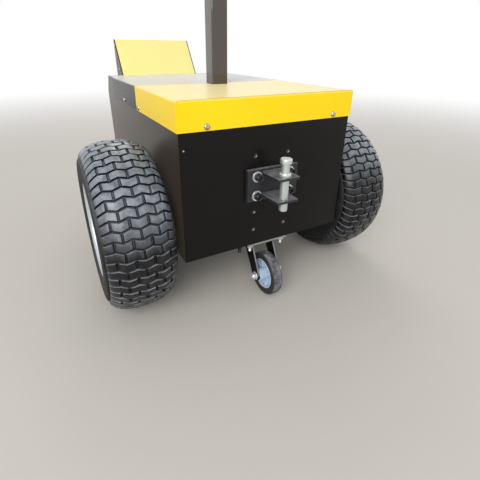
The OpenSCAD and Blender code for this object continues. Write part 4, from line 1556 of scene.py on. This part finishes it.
@dataclass(frozen=True)
class Hitch:
    """Bolted hitch: plate, two shelves, socket screws and the drop pin."""

    column_x: float = 44.0
    rows_z: tuple[float, ...] = (381.5, 335.5, 289.5, 243.5, 197.5)
    used: tuple[int, ...] = (1, 2)
    plate_t: float = 10.0
    washer_t: float = 2.5
    shelf_tops: tuple[float, ...] = (291.0, 344.0)
    shelf_t: float = 6.0
    root_half: float = 31.0
    weld_r: float = 2.0
    thread_turns: int = 6
    thread_pitch: float = 1.6
    thread_r: Pair = (4.35, 4.95)
    hole_r: float = 5.06
    pin_y: float = -54.0
    pin_tail: float = 25.0
    collar_h: float = 6.5
    neck_h: float = 22.5
    head_h: float = 11.0

    def build(self) -> None:
        """Makes the hitch's pieces."""
        for node in ("hitch_plate", "hitch_shelf_upper", "hitch_shelf_lower"):
            dress_node(node, HITCH_PAINT, "hitch_black", width=0.9)
        self.screws()
        self.threads()
        self.welds()
        self.pin()

    def spots(self, rows: Iterable[int], y: float) -> list[Place]:
        """Places on the hole pattern that face the hitch."""
        return [((x, y, self.rows_z[row]), TO_HITCH) for row in rows for x in (-self.column_x, self.column_x)]

    def screws(self) -> None:
        """Four socket head screws and their washers."""
        screw = FASTENERS.cap_screw(radius=9.0, height=12.0, socket=10.0, depth=6.0)
        heads = self.spots(self.used, -self.plate_t - self.washer_t)
        stand_parts("hitch_screws", screw, heads, BLACK_OXIDE, "bolt_black", replaces=("hitch_bolts",))
        washer = FASTENERS.washer(radius=12.5, bore=5.6, thick=self.washer_t)
        stand_parts("hitch_washers", washer, self.spots(self.used, -self.plate_t), DULL_ZINC, "zinc")

    def threads(self) -> None:
        """Bare threads inside the six free holes."""
        crest, root = self.thread_r
        profile = [(self.hole_r, 0.0)]
        for i in range(self.thread_turns):
            profile += [(crest, -0.45 - self.thread_pitch * i), (root, -1.25 - self.thread_pitch * i)]
        profile += [(crest, -9.6), (self.hole_r, -9.8)]
        thread = Form.turned_from(profile, 24, ring=True)
        free = [row for row in range(len(self.rows_z)) if row not in self.used]
        stand_parts("hole_threads", thread, self.spots(free, 0.35), BARE_THREAD, "turned_steel")

    def welds(self) -> None:
        """Weld beads along the roots of both shelves, over and under each."""
        form = Form()
        for index, top in enumerate(self.shelf_tops):
            for z in (top + 0.6, top - self.shelf_t - 0.6):
                path = [Vector((-self.root_half + 1 + i * 2.0, -self.plate_t - 0.6, z)) for i in range(31)]
                form.bead(path, self.weld_r, UP, seed=index + 5)
        form.piece("shelf_welds", HITCH_PAINT, "hitch_black")

    def pin(self) -> None:
        """Zinc-plated drop pin, turned with a head, a neck and a collar."""
        low = self.shelf_tops[0] - self.shelf_t - self.pin_tail
        seat = self.shelf_tops[1]
        neck = seat + self.collar_h
        head = neck + self.neck_h
        top = head + self.head_h
        profile = [
            (0, low), (6.4, low), (7.4, low + 0.3), (9.7, low + 2.7), (10.0, low + 3.6), (10.0, seat - 1.2),
            (10.6, seat + 0.05), (12.9, seat + 0.05), (13.5, seat + 0.7), (13.5, neck - 1.4),
            (13.2, neck - 0.6), (12.4, neck), (10.1, neck), (9.5, neck + 0.5), (9.35, neck + 1.2),
            (9.35, head - 1.2), (9.6, head - 0.4), (10.4, head), (12.6, head), (13.5, head + 0.8),
            (13.5, top - 2.6), (13.0, top - 1.3), (11.9, top - 0.3), (11.0, top), (2.2, top),
            (1.6, top - 0.4), (0, top - 0.9),
        ]
        form = Form.turned_from(profile, 64, place=Matrix.Translation((0.0, self.pin_y, 0.0)))
        form.piece("hitch_pin_turned", BRIGHT_ZINC, "zinc", "pin", replaces=("hitch_pin",), sharp=42.0)


# Casters

SWIVEL_SEAL = [(33.6, 144.0), (35.4, 144.2), (36.0, 145.2), (36.0, 147.4), (35.2, 149.0), (33.6, 149.8)]


@dataclass(frozen=True)
class Caster:
    """Swivel caster: plate with its bolts, fork, axle, ribbed hub and tyre.

    Args:
        end: end of the tug.
        swivel_y: place of the swivel's axis.
    """

    end: End
    swivel_y: float
    trail: float = 43.0
    axle_z: float = 58.0
    underside_z: float = 155.0
    plate_t: float = 5.0
    hole_x: float = 46.0
    hole_y: float = 32.0
    radius: float = 58.0
    tyre_half: float = 14.0
    hub_r: float = 40.0
    rim_half: float = 12.6
    rim_t: float = 5.0
    web_half: float = 3.5
    boss_r: float = 17.0
    boss_half: float = 27.5
    bore: float = 6.1
    ribs: int = 10
    rib_half: float = 1.5
    fork_out: float = 33.0
    leg_t: float = 5.0
    leg_front: tuple[Pair, Pair] = ((-21.5, 134.0), (-56.6, 63.2))

    @property
    def word(self) -> str:
        """Name of the end as the nodes spell it."""
        return self.end.value

    @property
    def swivel(self) -> Matrix:
        """Frame on the swivel's axis, from the ground."""
        return Matrix.Translation((0.0, self.swivel_y, 0.0))

    @property
    def axle(self) -> Matrix:
        """Frame with Z along the axle to the right."""
        turn = Matrix(((0, 0, 1, 0), (1, 0, 0, 0), (0, 1, 0, 0), (0, 0, 0, 1)))
        return Matrix.Translation((0.0, self.swivel_y - self.trail, self.axle_z)) @ turn

    def build(self) -> None:
        """Makes the caster's pieces."""
        dress_node(f"caster_plate_{self.word}", GALVANISED, "galvanised", width=0.8)
        fork = f"fork_{self.word}"
        dress_node(f"caster_{fork}", BLACK_GLOSS, "black_gloss", width=1.2, body=fork)
        self.bare_edges()
        self.plate_bolts()
        self.swivel_seal()
        self.axle_bolt()
        self.hub()
        self.tyre()

    def bare_edges(self) -> None:
        """Pale strips on the front edges of the fork's legs: worn paint on the sheared edge, and a painted
        highlight along it.
        """
        form = Form(self.swivel)
        for side in Side:
            x = side.value * (self.fork_out - self.leg_t / 2)
            path = [Vector((x, *end)) for end in self.leg_front]
            form.sweep(path, [(-0.4, -1.5), (0.25, -1.5), (0.25, 1.5), (-0.4, 1.5)], Vector((1, 0, 0)))
        form.piece(f"fork_edges_{self.word}", WORN_EDGE_AND_HIGHLIGHT, "black_gloss", f"fork_{self.word}")

    def plate_bolts(self) -> None:
        """Washers and nuts on the four bolts that hold the plate."""
        low = self.underside_z - self.plate_t
        spots = [(sx * self.hole_x, self.swivel_y + sy * self.hole_y) for sx in (-1, 1) for sy in (-1, 1)]
        washer = FASTENERS.washer(radius=9.6, bore=4.0, thick=1.6)
        nut = FASTENERS.nut_and_end(across=14.0, height=5.5, bolt=4.0, reach=11.5)
        form = Form()
        form.join_stood(washer, [((x, y, low), DOWN) for x, y in spots], DULL_ZINC)
        form.join_stood(nut, [((x, y, low - 1.5), DOWN) for x, y in spots], DULL_ZINC, seed=4)
        form.piece(f"plate_bolts_{self.word}", DULL_ZINC, "zinc")

    def swivel_seal(self) -> None:
        """Pressed dust ring over the swivel's balls."""
        form = Form.turned_from(SWIVEL_SEAL, 48, ring=True, place=self.swivel)
        form.piece(f"swivel_seal_{self.word}", GALVANISED, "galvanised")

    def axle_bolt(self) -> None:
        """Axle bolt with a nut and a washer on each side."""
        form = Form.turned_from([(0, -32.0), (6.0, -32.0), (6.0, 32.0), (0, 32.0)], 24, place=self.axle)
        nut = FASTENERS.nut_and_end(across=17.0, height=9.0, bolt=6.0, reach=3.0)
        washer = FASTENERS.washer(radius=11.0, bore=5.9, thick=1.2)
        for part, out, spin in ((nut, self.fork_out, 40.0), (washer, self.fork_out - 0.2, 360.0)):
            places = [((0.0, 0.0, s * out), (0.0, 0.0, float(s))) for s in (-1, 1)]
            form.join_stood(part, places, DULL_ZINC, spin)
        node = f"caster_axle_{self.word}"
        form.piece(f"{node}_plated", DULL_ZINC, "zinc", f"fork_{self.word}", replaces=(node,))

    def hub(self) -> None:
        """Moulded hub: rim, web and boss with ribs between them on both faces."""
        rim_in, rim, web = self.hub_r - self.rim_t, self.rim_half, self.web_half
        bore, boss_r, boss = self.bore, self.boss_r, self.boss_half
        half = [
            (self.hub_r, 0.0), (self.hub_r, rim - 1.0), (self.hub_r - 1.0, rim), (rim_in + 1.0, rim),
            (rim_in, rim - 1.0), (rim_in - 0.8, web + 2.0), (rim_in - 3.0, web), (boss_r + 2.5, web),
            (boss_r + 0.4, web + 2.0), (boss_r - 0.6, boss - 1.0), (boss_r - 1.6, boss), (bore + 1.0, boss),
            (bore, boss - 1.0),
        ]
        form = Form.turned_from(half + mirrored(half[1:]), 72, ring=True, place=self.axle)
        rib = Form()
        inner, outer = boss_r - 1.0, rim_in + 0.8
        for face in (-1, 1):
            levels = ((self.rib_half, (web - 1.0) * face), (self.rib_half * 0.72, (rim - 2.6) * face))
            rib.loft([[(inner, -b, z), (outer, -b, z), (outer, b, z), (inner, b, z)] for b, z in levels])
        form.join_ring(rib, self.ribs, CASTER_NYLON)
        node = f"caster_hub_{self.word}"
        form.piece(f"{node}_moulded", CASTER_NYLON, "caster_nylon", f"roller_{self.word}", replaces=(node,))

    def tyre(self) -> None:
        """Rubber tyre bonded on the hub, with stepped sides and a crowned tread."""
        r, h, hub = self.radius, self.tyre_half, self.hub_r
        half = [
            (r, 0.0), (r - 0.15, h * 0.35), (r - 0.5, h * 0.6), (r - 1.2, h * 0.78), (r - 2.6, h * 0.92),
            (r - 4.4, h * 0.99), (r - 5.6, h), (r - 9.0, h), (r - 9.8, h - 0.7), (hub + 2.6, h - 1.2),
            (hub + 0.6, h - 1.9), (hub + 0.3, self.rim_half - 1.4),
        ]
        form = Form.turned_from(half + mirrored(half[1:]), 96, ring=True, place=self.axle)
        axle = (self.swivel_y - self.trail, self.axle_z)
        rubber = replace(CASTER_RUBBER, name=f"caster_rubber_{self.word}", axle=axle)
        node = f"caster_tyre_{self.word}"
        form.piece(f"{node}_rubber", rubber, "caster_rubber", f"roller_{self.word}", replaces=(node,))


# Mast and handlebar

# Height across the head, how far the shell draws in there and its corner radius.
HEAD_SHELL = (
    (19.0, 2.0, 9.0), (17.6, 0.4, 10.0), (16.0, 0.0, 10.0), (1.6, 0.0, 10.0), (1.1, 0.9, 9.4),
    (0.1, 0.9, 9.4), (-0.4, 0.0, 10.0), (-13.0, 0.0, 10.0), (-15.8, 0.8, 10.0), (-17.8, 2.6, 9.6),
    (-18.8, 5.4, 9.0), (-19.0, 8.4, 8.0),
)
HEAD_BUTTON = [
    (0, -0.5), (9.0, -0.5), (9.0, 1.6), (8.2, 2.4), (7.4, 2.4), (7.0, 1.8), (6.6, 3.6), (6.0, 4.4), (0, 4.8)
]
STOP_COLLAR = [
    (0, 0.0), (15.0, 0.0), (15.0, 3.2), (14.2, 4.4), (12.0, 5.2), (11.0, 6.4), (11.0, 9.0), (0, 9.0)
]
STOP_MUSHROOM = [
    (0, 8.0), (16.0, 8.0), (18.8, 9.2), (19.7, 11.0), (19.9, 13.4), (19.2, 16.0), (17.2, 18.3), (14.4, 19.6),
    (11.0, 20.0), (7.0, 19.7), (0, 19.2),
]


@dataclass(frozen=True)
class Steering:
    """Square mast, arm, handlebar with grips, and the control head."""

    width: float = 45.0
    corner: float = 4.0
    mast_y: float = 285.0
    mast_low: float = 161.0
    mast_top: float = 735.0
    arm_len: float = 400.0
    arm_angle: float = 38.0
    weld_r: float = 1.7
    weld_step: float = 2.2
    bar_r: float = 12.5
    bar_at: float = 25.0
    bar_half: float = 165.0
    bar_bend: float = 25.0
    bend_reach: float = 22.0
    bar_end: float = 135.0
    grip_start: float = 20.0
    grip_len: float = 120.0
    ridge_pitch: float = 7.4
    clamp_half: float = 32.25
    clamp_face: float = 22.5
    clamp_screw_x: float = 23.0
    clamp_screw_z: Pair = (9.0, 41.0)
    head: Point = (65.0, 19.0, 31.0)
    button_x: float = 42.0
    button_z: float = -8.0
    lever_x: float = 41.0
    lever_z: float = 14.0

    @property
    def mast(self) -> Matrix:
        """Frame on the mast's axis, from the ground."""
        return Matrix.Translation((0.0, self.mast_y, 0.0))

    @property
    def arm(self) -> Matrix:
        """Frame with Z up the arm from the mitre and Y down and back."""
        turn = Matrix.Rotation(math.radians(self.arm_angle - 90), 4, "X")
        return Matrix.Translation((0.0, self.mast_y, self.mast_top)) @ turn

    @property
    def arm_end(self) -> Matrix:
        """Frame at the arm's end."""
        return self.arm @ Matrix.Translation((0.0, 0.0, self.arm_len))

    @property
    def head_middle(self) -> Matrix:
        """Frame in the middle of the control head."""
        return self.arm_end @ Matrix.Translation((0.0, -self.width / 2 - self.head[1], self.bar_at))

    def rise(self, y: float) -> float:
        """Height of the mitre over its middle, by the distance from the mast's axis."""
        slant = math.radians(self.arm_angle)
        return -y * (1 - math.sin(slant)) / math.cos(slant)

    def build(self) -> None:
        """Makes the mast, the arm and what they carry."""
        outline = rounded_rectangle(self.width / 2, self.width / 2, self.corner)
        foot = [(x, y, self.mast_low) for x, y in outline]
        mitre = [(x, y, self.mast_top + self.rise(y)) for x, y in outline]
        mast = Form.lofted([foot, mitre], place=self.mast)
        mast.piece("mast_tube", ENAMEL_PAINTED_LID_REFLECTION, "black_powder", replaces=("mast",))
        ends = [[(x, y, -self.rise(y)) for x, y in outline], [(x, y, self.arm_len) for x, y in outline]]
        arm = Form.lofted(ends, place=self.arm)
        arm.piece("arm_tube", ENAMEL_PAINTED_LID_REFLECTION, "black_powder", replaces=("mast_arm",))
        self.mitre_weld([Vector(p) for p in mitre])
        self.bar()
        self.grips()
        self.clamp_block()
        self.control_head()
        self.speed_levers()
        self.stop_button()

    def mitre_weld(self, corners: Sequence[Vector]) -> None:
        """Weld bead round the mitre."""
        path = []
        for a, b in zip(corners, [*corners[1:], corners[0]]):
            parts = max(1, round((b - a).length / self.weld_step))
            path += [a + (b - a) * i / parts for i in range(parts)]
        form = Form(self.mast)
        normal = Vector((0.0, -self.rise(1.0), 1.0)).normalized()
        form.bead(path, self.weld_r, normal, closed=True, seed=11)
        form.piece("mitre_weld", ENAMEL_PAINTED_LID_REFLECTION, "black_powder")

    def bar_points(self) -> list[Vector]:
        """Middle line of the handlebar in the plan, with its two bends."""
        slant, bent = math.radians(self.arm_angle), math.radians(self.bar_bend)
        reach = self.arm_len + self.bar_at
        y, z = self.mast_y + reach * math.cos(slant), self.mast_top + reach * math.sin(slant)
        away = Vector((math.cos(bent), math.sin(bent), 0.0))
        bend = Vector((self.bar_half, y, z))
        start, end = bend - Vector((self.bend_reach, 0, 0)), bend + away * self.bend_reach
        right = [start.lerp(bend, t).lerp(bend.lerp(end, t), t) for t in (i / 8 for i in range(9))]
        right.append(bend + away * self.bar_end)
        return [Vector((-p.x, p.y, p.z)) for p in right[::-1]] + right

    def bar(self) -> None:
        """Bent handlebar tube."""
        form = Form()
        form.sweep(self.bar_points(), [(a, b) for a, b, _ in circle(self.bar_r, 0.0, 32)], UP)
        form.piece("handlebar_tube", BLACK_GLOSS, "black_gloss", replaces=("handlebar",))

    def grips(self) -> None:
        """Ribbed rubber grips with flanges and closed ends."""
        length = self.grip_len
        profile = [(self.bar_r + 0.1, 0.0), (16.6, 0.2), (17.6, 1.2), (17.6, 3.4), (16.4, 4.6)]
        z = 6.0
        while z < length - 12.0:
            profile += [(14.9, z), (14.9, z + 1.6), (15.9, z + 2.3), (15.9, z + 5.0), (14.9, z + 5.8)]
            z += self.ridge_pitch
        profile += [(15.2, length - 6.5), (16.4, length - 5.5), (16.5, length - 2.0), (15.4, length - 0.5)]
        grip = Form.turned_from([*profile, (12.0, length), (0, length)], 48)
        bend = math.radians(self.bar_bend)
        root = self.bar_points()[-1] - Vector((math.cos(bend), math.sin(bend), 0)) * self.bar_end
        both = Form()
        for side in Side:
            ahead = Vector((side.value * math.cos(bend), math.sin(bend), 0.0))
            base = Vector((side.value * root.x, root.y, root.z)) + ahead * self.grip_start
            both.join_stood(grip, [(tuple(base), tuple(ahead))], GRIP_RUBBER, spin=0.0)
        both.piece("grips_ribbed", GRIP_RUBBER, "grip_rubber", replaces=("grips",))

    def clamp_block(self) -> None:
        """Split clamp that holds the bar, with its four screws."""
        dress_node("handlebar_clamp", BLACK_POWDER, "black_powder", width=1.5)
        x, y = self.clamp_screw_x, self.clamp_face
        places = [((at, y, z), TO_OPERATOR) for at in (-x, x) for z in self.clamp_screw_z]
        screw = FASTENERS.cap_screw(radius=5.0, height=4.6, socket=4.6, depth=3.0)
        stand_parts("clamp_screws", screw, places, BLACK_OXIDE, "bolt_black", place=self.arm_end)
        split = Form(self.arm_end)
        for low, high in ((-0.2, 8.0), (42.0, 50.2)):
            split.block((-self.clamp_half, -0.7, low), (self.clamp_half, 0.7, high))
        split.soften(0.2, 1)
        split.piece("clamp_split", GRIP_RUBBER, "black_powder")

    def control_head(self) -> None:
        """Moulded control head with a parting line, and its push buttons and screws."""
        half_x, half_y, half_z = self.head
        loops = []
        for y, inset, corner in HEAD_SHELL:
            outline = rounded_rectangle(half_x - inset, half_z - inset, corner)
            loops.append([(a, y, b) for a, b in outline])
        shell = Form.lofted(loops, place=self.head_middle)
        shell.piece("control_head_shell", BLACK_ABS, "black_plastic", replaces=("control_head",), sharp=30.0)
        button = Form.turned_from(HEAD_BUTTON, 32)
        screw = FASTENERS.button_screw(radius=3.0, height=1.4, socket=2.2)
        corners = [(x, -15.6, z) for x in (-57.5, 57.5) for z in (-23.5, 23.5)]
        keys = Form(self.head_middle)
        middles = [(x, -half_y, self.button_z) for x in (-self.button_x, self.button_x)]
        for part, spots in ((button, middles), (screw, corners)):
            keys.join_stood(part, [(spot, TO_HITCH) for spot in spots], BLACK_ABS)
        keys.piece("head_buttons", BLACK_ABS, "black_plastic")

    def speed_levers(self) -> None:
        """Two thumb levers on the control head."""
        half_x, half_z = 17.0, 8.0
        outline = rounded_rectangle(half_x, 6.5, 5.0, 4)
        levers = Form(self.head_middle)
        for x in (-self.lever_x, self.lever_x):
            loops = []
            for rise, shrink in ((-0.6, 0.0), (2.0, 0.0), (3.4, 0.8), (4.0, 2.2)):
                y, wide, tall = -self.head[1] - rise, 1 - shrink / half_x, 1 - shrink / half_z
                loops.append([(x + a * wide, y, self.lever_z + b * tall) for a, b in outline])
            levers.loft(loops)
        levers.piece("speed_levers", YELLOW_ABS, "black_plastic")

    def stop_button(self) -> None:
        """Emergency stop: yellow collar and a red mushroom with a finger ridge."""
        foot = Matrix.Translation((0.0, -self.width / 2 - 2 * self.head[1], self.bar_at))
        place = self.arm_end @ (foot @ Matrix.Rotation(math.radians(90), 4, "X"))
        Form.turned_from(STOP_COLLAR, 48, place=place).piece("stop_collar", YELLOW_ABS, "yellow_powder")
        cap = Form.turned_from(STOP_MUSHROOM, 48, place=place)
        ridge = Form()
        ridge.block((18.6, -0.7, 10.4), (20.0, 0.7, 15.2))
        ridge.soften(0.25, 1)
        cap.join_ring(ridge, 24, RED_ABS)
        cap.piece("stop_mushroom", RED_ABS, "stop_red", replaces=("emergency_stop",))


# Console

GAUGE_BEZEL = [
    (0, -14.0), (26.0, -14.0), (26.0, 0.0), (29.0, 0.0), (29.0, 2.0), (28.2, 3.4), (26.6, 4.0), (25.2, 3.6),
    (24.4, 2.4), (24.2, 0.4), (0, 0.4),
]
GAUGE_CARD = [(0, 0.45), (24.1, 0.45), (24.1, 0.8), (0, 0.8)]
NEEDLE_BOSS = [(0, 0.8), (2.6, 0.8), (2.6, 2.0), (1.8, 2.4), (0, 2.4)]
GAUGE_COVER = [(0, 2.7), (24.3, 2.7), (24.3, 3.3), (16.0, 3.55), (0, 3.7)]
KEY_BARREL = [
    (0, -14.0), (11.0, -14.0), (11.0, 0.0), (15.0, 0.0), (15.0, 2.2), (13.8, 4.4), (11.4, 6.0), (9.6, 6.0),
    (9.0, 5.0), (0, 5.0),
]
SOCKET_CAP = [
    (0, -14.0), (20.0, -14.0), (20.0, 0.0), (25.0, 0.0), (25.0, 2.6), (24.0, 3.6), (20.6, 3.8), (20.4, 4.4),
    (20.4, 6.8), (19.4, 7.9), (0, 8.0),
]


@dataclass(frozen=True)
class Console:
    """Operator's console with its gauge, key switch and charging socket."""

    back: float = 748.0
    left: float = -176.0
    right: float = 92.0
    panel_screw_in: float = 14.0
    panel_screw_z: Pair = (430.0, 603.0)
    cheek_screws: tuple[Pair, ...] = ((733.0, 600.0), (734.0, 440.0), (700.0, 525.0))
    gauge: Pair = (8.0, 559.5)
    arc_r: float = 17.0
    arc_half: float = 1.3
    marks: int = 9
    mark_start: float = -15.0
    mark_step: float = 26.25
    needle_turn: float = -38.0
    key: Pair = (-92.0, 559.5)
    socket: Pair = (-42.0, 467.5)
    socket_ribs: int = 28

    def out(self, where: Pair) -> Matrix:
        """Frame on the panel with Z towards the operator and Y up."""
        turn = Matrix(((-1, 0, 0, 0), (0, 0, 1, 0), (0, 1, 0, 0), (0, 0, 0, 1)))
        return Matrix.Translation((where[0], self.back, where[1])) @ turn

    def build(self) -> None:
        """Makes the console's pieces."""
        dress_node("console_cheeks", BLACK_POWDER, "black_powder", width=0.7)
        dress_node("console_cover", YELLOW_PAINTED_GLARE, "yellow_powder", width=0.5)
        dress_node("console_panel", BLACK_POWDER, "black_powder", width=0.6)
        self.screws()
        self.gauge_dial()
        self.key_switch()
        self.charge_socket()

    def screws(self) -> None:
        """Button screws at the panel's corners and on the cheeks."""
        columns = (self.left + self.panel_screw_in, self.right - self.panel_screw_in)
        places = [((x, self.back, z), TO_OPERATOR) for x in columns for z in self.panel_screw_z]
        for x, aim in ((self.left, -1.0), (self.right, 1.0)):
            places += [((x, y, z), (aim, 0.0, 0.0)) for y, z in self.cheek_screws]
        screw = FASTENERS.button_screw(radius=5.0, height=2.6, socket=3.2)
        stand_parts("console_screws", screw, places, STAINLESS, "zinc")

    def gauge_dial(self) -> None:
        """Charge gauge: bezel, dial card with its marks, needle and clear cover."""
        place, slot = self.out(self.gauge), "gauge_face"
        bezel = Form.turned_from(GAUGE_BEZEL, 64, place=place)
        bezel.piece("gauge_bezel", STAINLESS, slot, replaces=("charge_gauge",))
        Form.turned_from(GAUGE_CARD, 64, place=place).piece("gauge_card", DIAL_CARD, slot)
        self.gauge_arc("gauge_arc_green", DIAL_GREEN, range(-30, 61, 3))
        self.gauge_arc("gauge_arc_red", DIAL_RED, range(118, 151, 3))
        marks = Form(place)
        for i in range(self.marks):
            mark = Form()
            mark.block((19.0 if i % 2 else 18.2, -0.45, 0.8), (22.4, 0.45, 1.05))
            mark.turn(self.mark_start + self.mark_step * i)
            marks.join(mark)
        outline = [(-1.2, -4.0), (1.2, -4.0), (0.35, 16.5), (-0.35, 16.5)]
        needle = Form.lofted([[(a, b, z) for a, b in outline] for z in (1.3, 1.7)])
        needle.turn(self.needle_turn)
        marks.join(needle)
        marks.join(Form.turned_from(NEEDLE_BOSS, 24))
        marks.piece("gauge_marks", DIAL_BLACK, slot)
        Form.turned_from(GAUGE_COVER, 64, place=place).piece("gauge_cover", DIAL_COVER, slot)

    def gauge_arc(self, name: str, finish: Finish, turns: Iterable[int]) -> None:
        """Coloured arc on the dial card.

        Args:
            name: name of the piece.
            finish: its ink.
            turns: its points' turns on the dial in degrees.
        """
        arc = Form(self.out(self.gauge))
        angles = [math.radians(60 - t) for t in turns]
        path = [Vector((self.arc_r * math.sin(a), self.arc_r * math.cos(a), 0.95)) for a in angles]
        arc.sweep(path, flat_strip(self.arc_half, 0.1), UP)
        arc.piece(name, finish, "gauge_face")

    def key_switch(self) -> None:
        """Key switch, with a thin black plate for the slot of its key: painted shade of the opening."""
        place = self.out(self.key)
        Form.turned_from(KEY_BARREL, 48, place=place).piece(
            "key_barrel", BRIGHT_ZINC, "zinc", replaces=("key_switch",)
        )
        # The black plate paints the shade inside the key slot.
        slot = Form(place)
        slot.block((-1.3, -4.6, 4.9), (1.3, 4.6, 5.25))
        slot.piece("key_slot", DIAL_BLACK, "black_plastic")

    def charge_socket(self) -> None:
        """Charging socket under its screwed cap, ribbed for the fingers."""
        cap = Form.turned_from(SOCKET_CAP, 64, place=self.out(self.socket))
        rib = Form()
        rib.block((19.9, -0.9, 4.2), (21.0, 0.9, 7.0))
        rib.soften(0.25, 1)
        cap.join_ring(rib, self.socket_ribs, BLACK_ABS)
        cap.piece("socket_cap", BLACK_ABS, "black_plastic", replaces=("charge_socket",))


# Studio


@dataclass(frozen=True)
class Lamp:
    """Square soft panel, in metres.

    Args:
        name: name of the lamp.
        stand: where it hangs.
        aim: where it looks.
        size: its side.
        watts: its power.
    """

    name: str
    stand: Point
    aim: Point
    size: float
    watts: float

    def build(self) -> None:
        """Hangs the lamp."""
        light = bpy.data.lights.new(self.name, "AREA")
        light.shape, light.size, light.energy = "SQUARE", self.size, self.watts
        holder = held(self.name, light)
        holder.location = self.stand
        holder.rotation_mode = "QUATERNION"
        holder.rotation_quaternion = (Vector(self.aim) - Vector(self.stand)).to_track_quat("-Z", "Y")


@dataclass(frozen=True)
class Studio:
    """Pale floor, soft lights and the camera at the photograph's view."""

    lens: float = 25.80
    shift: Pair = (0.0083, -0.0711)
    yaw: float = 28.643
    pitch: float = 24.725
    roll: float = 0.506
    stand: Point = (-433.1, -624.5, 597.6)
    floor_r: float = 12.0
    fade_start: float = 1.3
    fade_end: float = 5.0
    sky: float = 0.6
    lamps: tuple[Lamp, ...] = (
        Lamp("key_panel", stand=(-2.6, -3.0, 2.5), aim=(0.0, 0.0, 0.3), size=3.2, watts=145.0),
        Lamp("back_panel", stand=(1.2, 3.0, 3.0), aim=(0.0, 0.0, 0.3), size=2.5, watts=40.0),
        Lamp("fill_panel", stand=(3.2, -1.0, 2.2), aim=(0.0, 0.0, 0.4), size=2.2, watts=10.0),
    )

    def build(self) -> None:
        """Makes the floor, the lights and the camera."""
        self.floor()
        self.world()
        for lamp in self.lamps:
            lamp.build()
        self.camera()

    def floor(self) -> None:
        """Wide plain floor in matt pale paint."""
        form = bmesh.new()
        bmesh.ops.create_circle(form, cap_ends=True, segments=64, radius=self.floor_r)
        data = bpy.data.meshes.new("floor")
        form.to_mesh(data)
        form.free()
        data.materials.append(self.floor_paint())
        sheet = held("floor", data)
        sheet.location = (0.0, 0.0, -0.0004)

    def floor_paint(self) -> bpy.types.Material:
        """Matt pale paint that runs out to white away from the tug."""
        made = FLOOR_PAINT.material()
        tree = made.node_tree
        end = next(n for n in tree.nodes if n.type == "OUTPUT_MATERIAL")
        paint = end.inputs["Surface"].links[0].from_socket
        where = add_node(tree, "ShaderNodeTexCoord")["Object"]
        reach = add_node(tree, "ShaderNodeVectorMath", [where], operation="LENGTH")["Value"]
        span = [reach, self.fade_start, self.fade_end]
        far = add_node(tree, "ShaderNodeMapRange", span, interpolation_type="SMOOTHSTEP")[0]
        share = add_node(tree, "ShaderNodeMath", [far, self.seen_rays(tree)], operation="MULTIPLY")[0]
        white = add_node(tree, "ShaderNodeEmission", {"Color": linear("#FFFFFF"), "Strength": 1.0})[0]
        mix = add_node(tree, "ShaderNodeMixShader", [share, paint, white])[0]
        tree.links.new(mix, end.inputs["Surface"])
        return made

    def seen_rays(self, tree: Tree) -> Socket:
        """1 for rays that show the background: to the camera, in gloss and through glass."""
        rays = add_node(tree, "ShaderNodeLightPath")
        near = [rays["Is Camera Ray"], rays["Is Glossy Ray"]]
        first = add_node(tree, "ShaderNodeMath", near, operation="MAXIMUM")[0]
        return add_node(tree, "ShaderNodeMath", [first, rays["Is Transmission Ray"]], operation="MAXIMUM")[0]

    def world(self) -> None:
        """Even sky that lights softly and shows white to the camera and in gloss."""
        sky = bpy.data.worlds.new("soft_sky")
        bpy.context.scene.world = sky
        sky.use_nodes = True
        tree = sky.node_tree
        tree.nodes.clear()
        lit, white = (
            add_node(tree, "ShaderNodeBackground", {"Color": linear(colour), "Strength": strength})[0]
            for colour, strength in (("#F4F7FF", self.sky), ("#FFFFFF", 1.0))
        )
        mix = add_node(tree, "ShaderNodeMixShader", [self.seen_rays(tree), lit, white])[0]
        add_node(tree, "ShaderNodeOutputWorld", {"Surface": mix})

    def camera(self) -> None:
        """Camera at the photograph's view."""
        yaw, pitch, roll = (math.radians(a) for a in (self.yaw, self.pitch, self.roll))
        ahead = Vector((math.sin(yaw) * math.cos(pitch), math.cos(yaw) * math.cos(pitch), -math.sin(pitch)))
        level = Vector((math.cos(yaw), -math.sin(yaw), 0.0))
        above = level.cross(ahead)
        right = level * math.cos(roll) + above * math.sin(roll)
        up = above * math.cos(roll) - level * math.sin(roll)
        data = bpy.data.cameras.new("photo_camera")
        data.sensor_width, data.lens = 36.0, self.lens
        data.shift_x, data.shift_y = self.shift
        data.clip_start, data.clip_end = 0.02, 60.0
        holder = held("photo_camera", data)
        holder.rotation_mode = "QUATERNION"
        holder.rotation_quaternion = Matrix((right, up, -ahead)).transposed().to_quaternion()
        holder.location = TO_ROW @ Vector(self.stand)
        bpy.context.scene.camera = holder


def main() -> None:
    """Builds the tug, piece by piece, and its studio."""
    logging.basicConfig(level=logging.INFO, format="%(name)s: %(message)s")
    bpy.context.scene.view_settings.view_transform = "Standard"
    Studio().build()
    Body().build()
    DriveWheel(Side.LEFT, phase=4.4, rubber=TYRE_RUBBER).build()
    DriveWheel(Side.RIGHT, phase=7.6, rubber=SHADED_TYRE_RUBBER).build()
    Hitch().build()
    Caster(End.FRONT, swivel_y=42.0).build()
    Caster(End.REAR, swivel_y=670.0).build()
    Steering().build()
    Console().build()


if __name__ == "__main__":
    main()
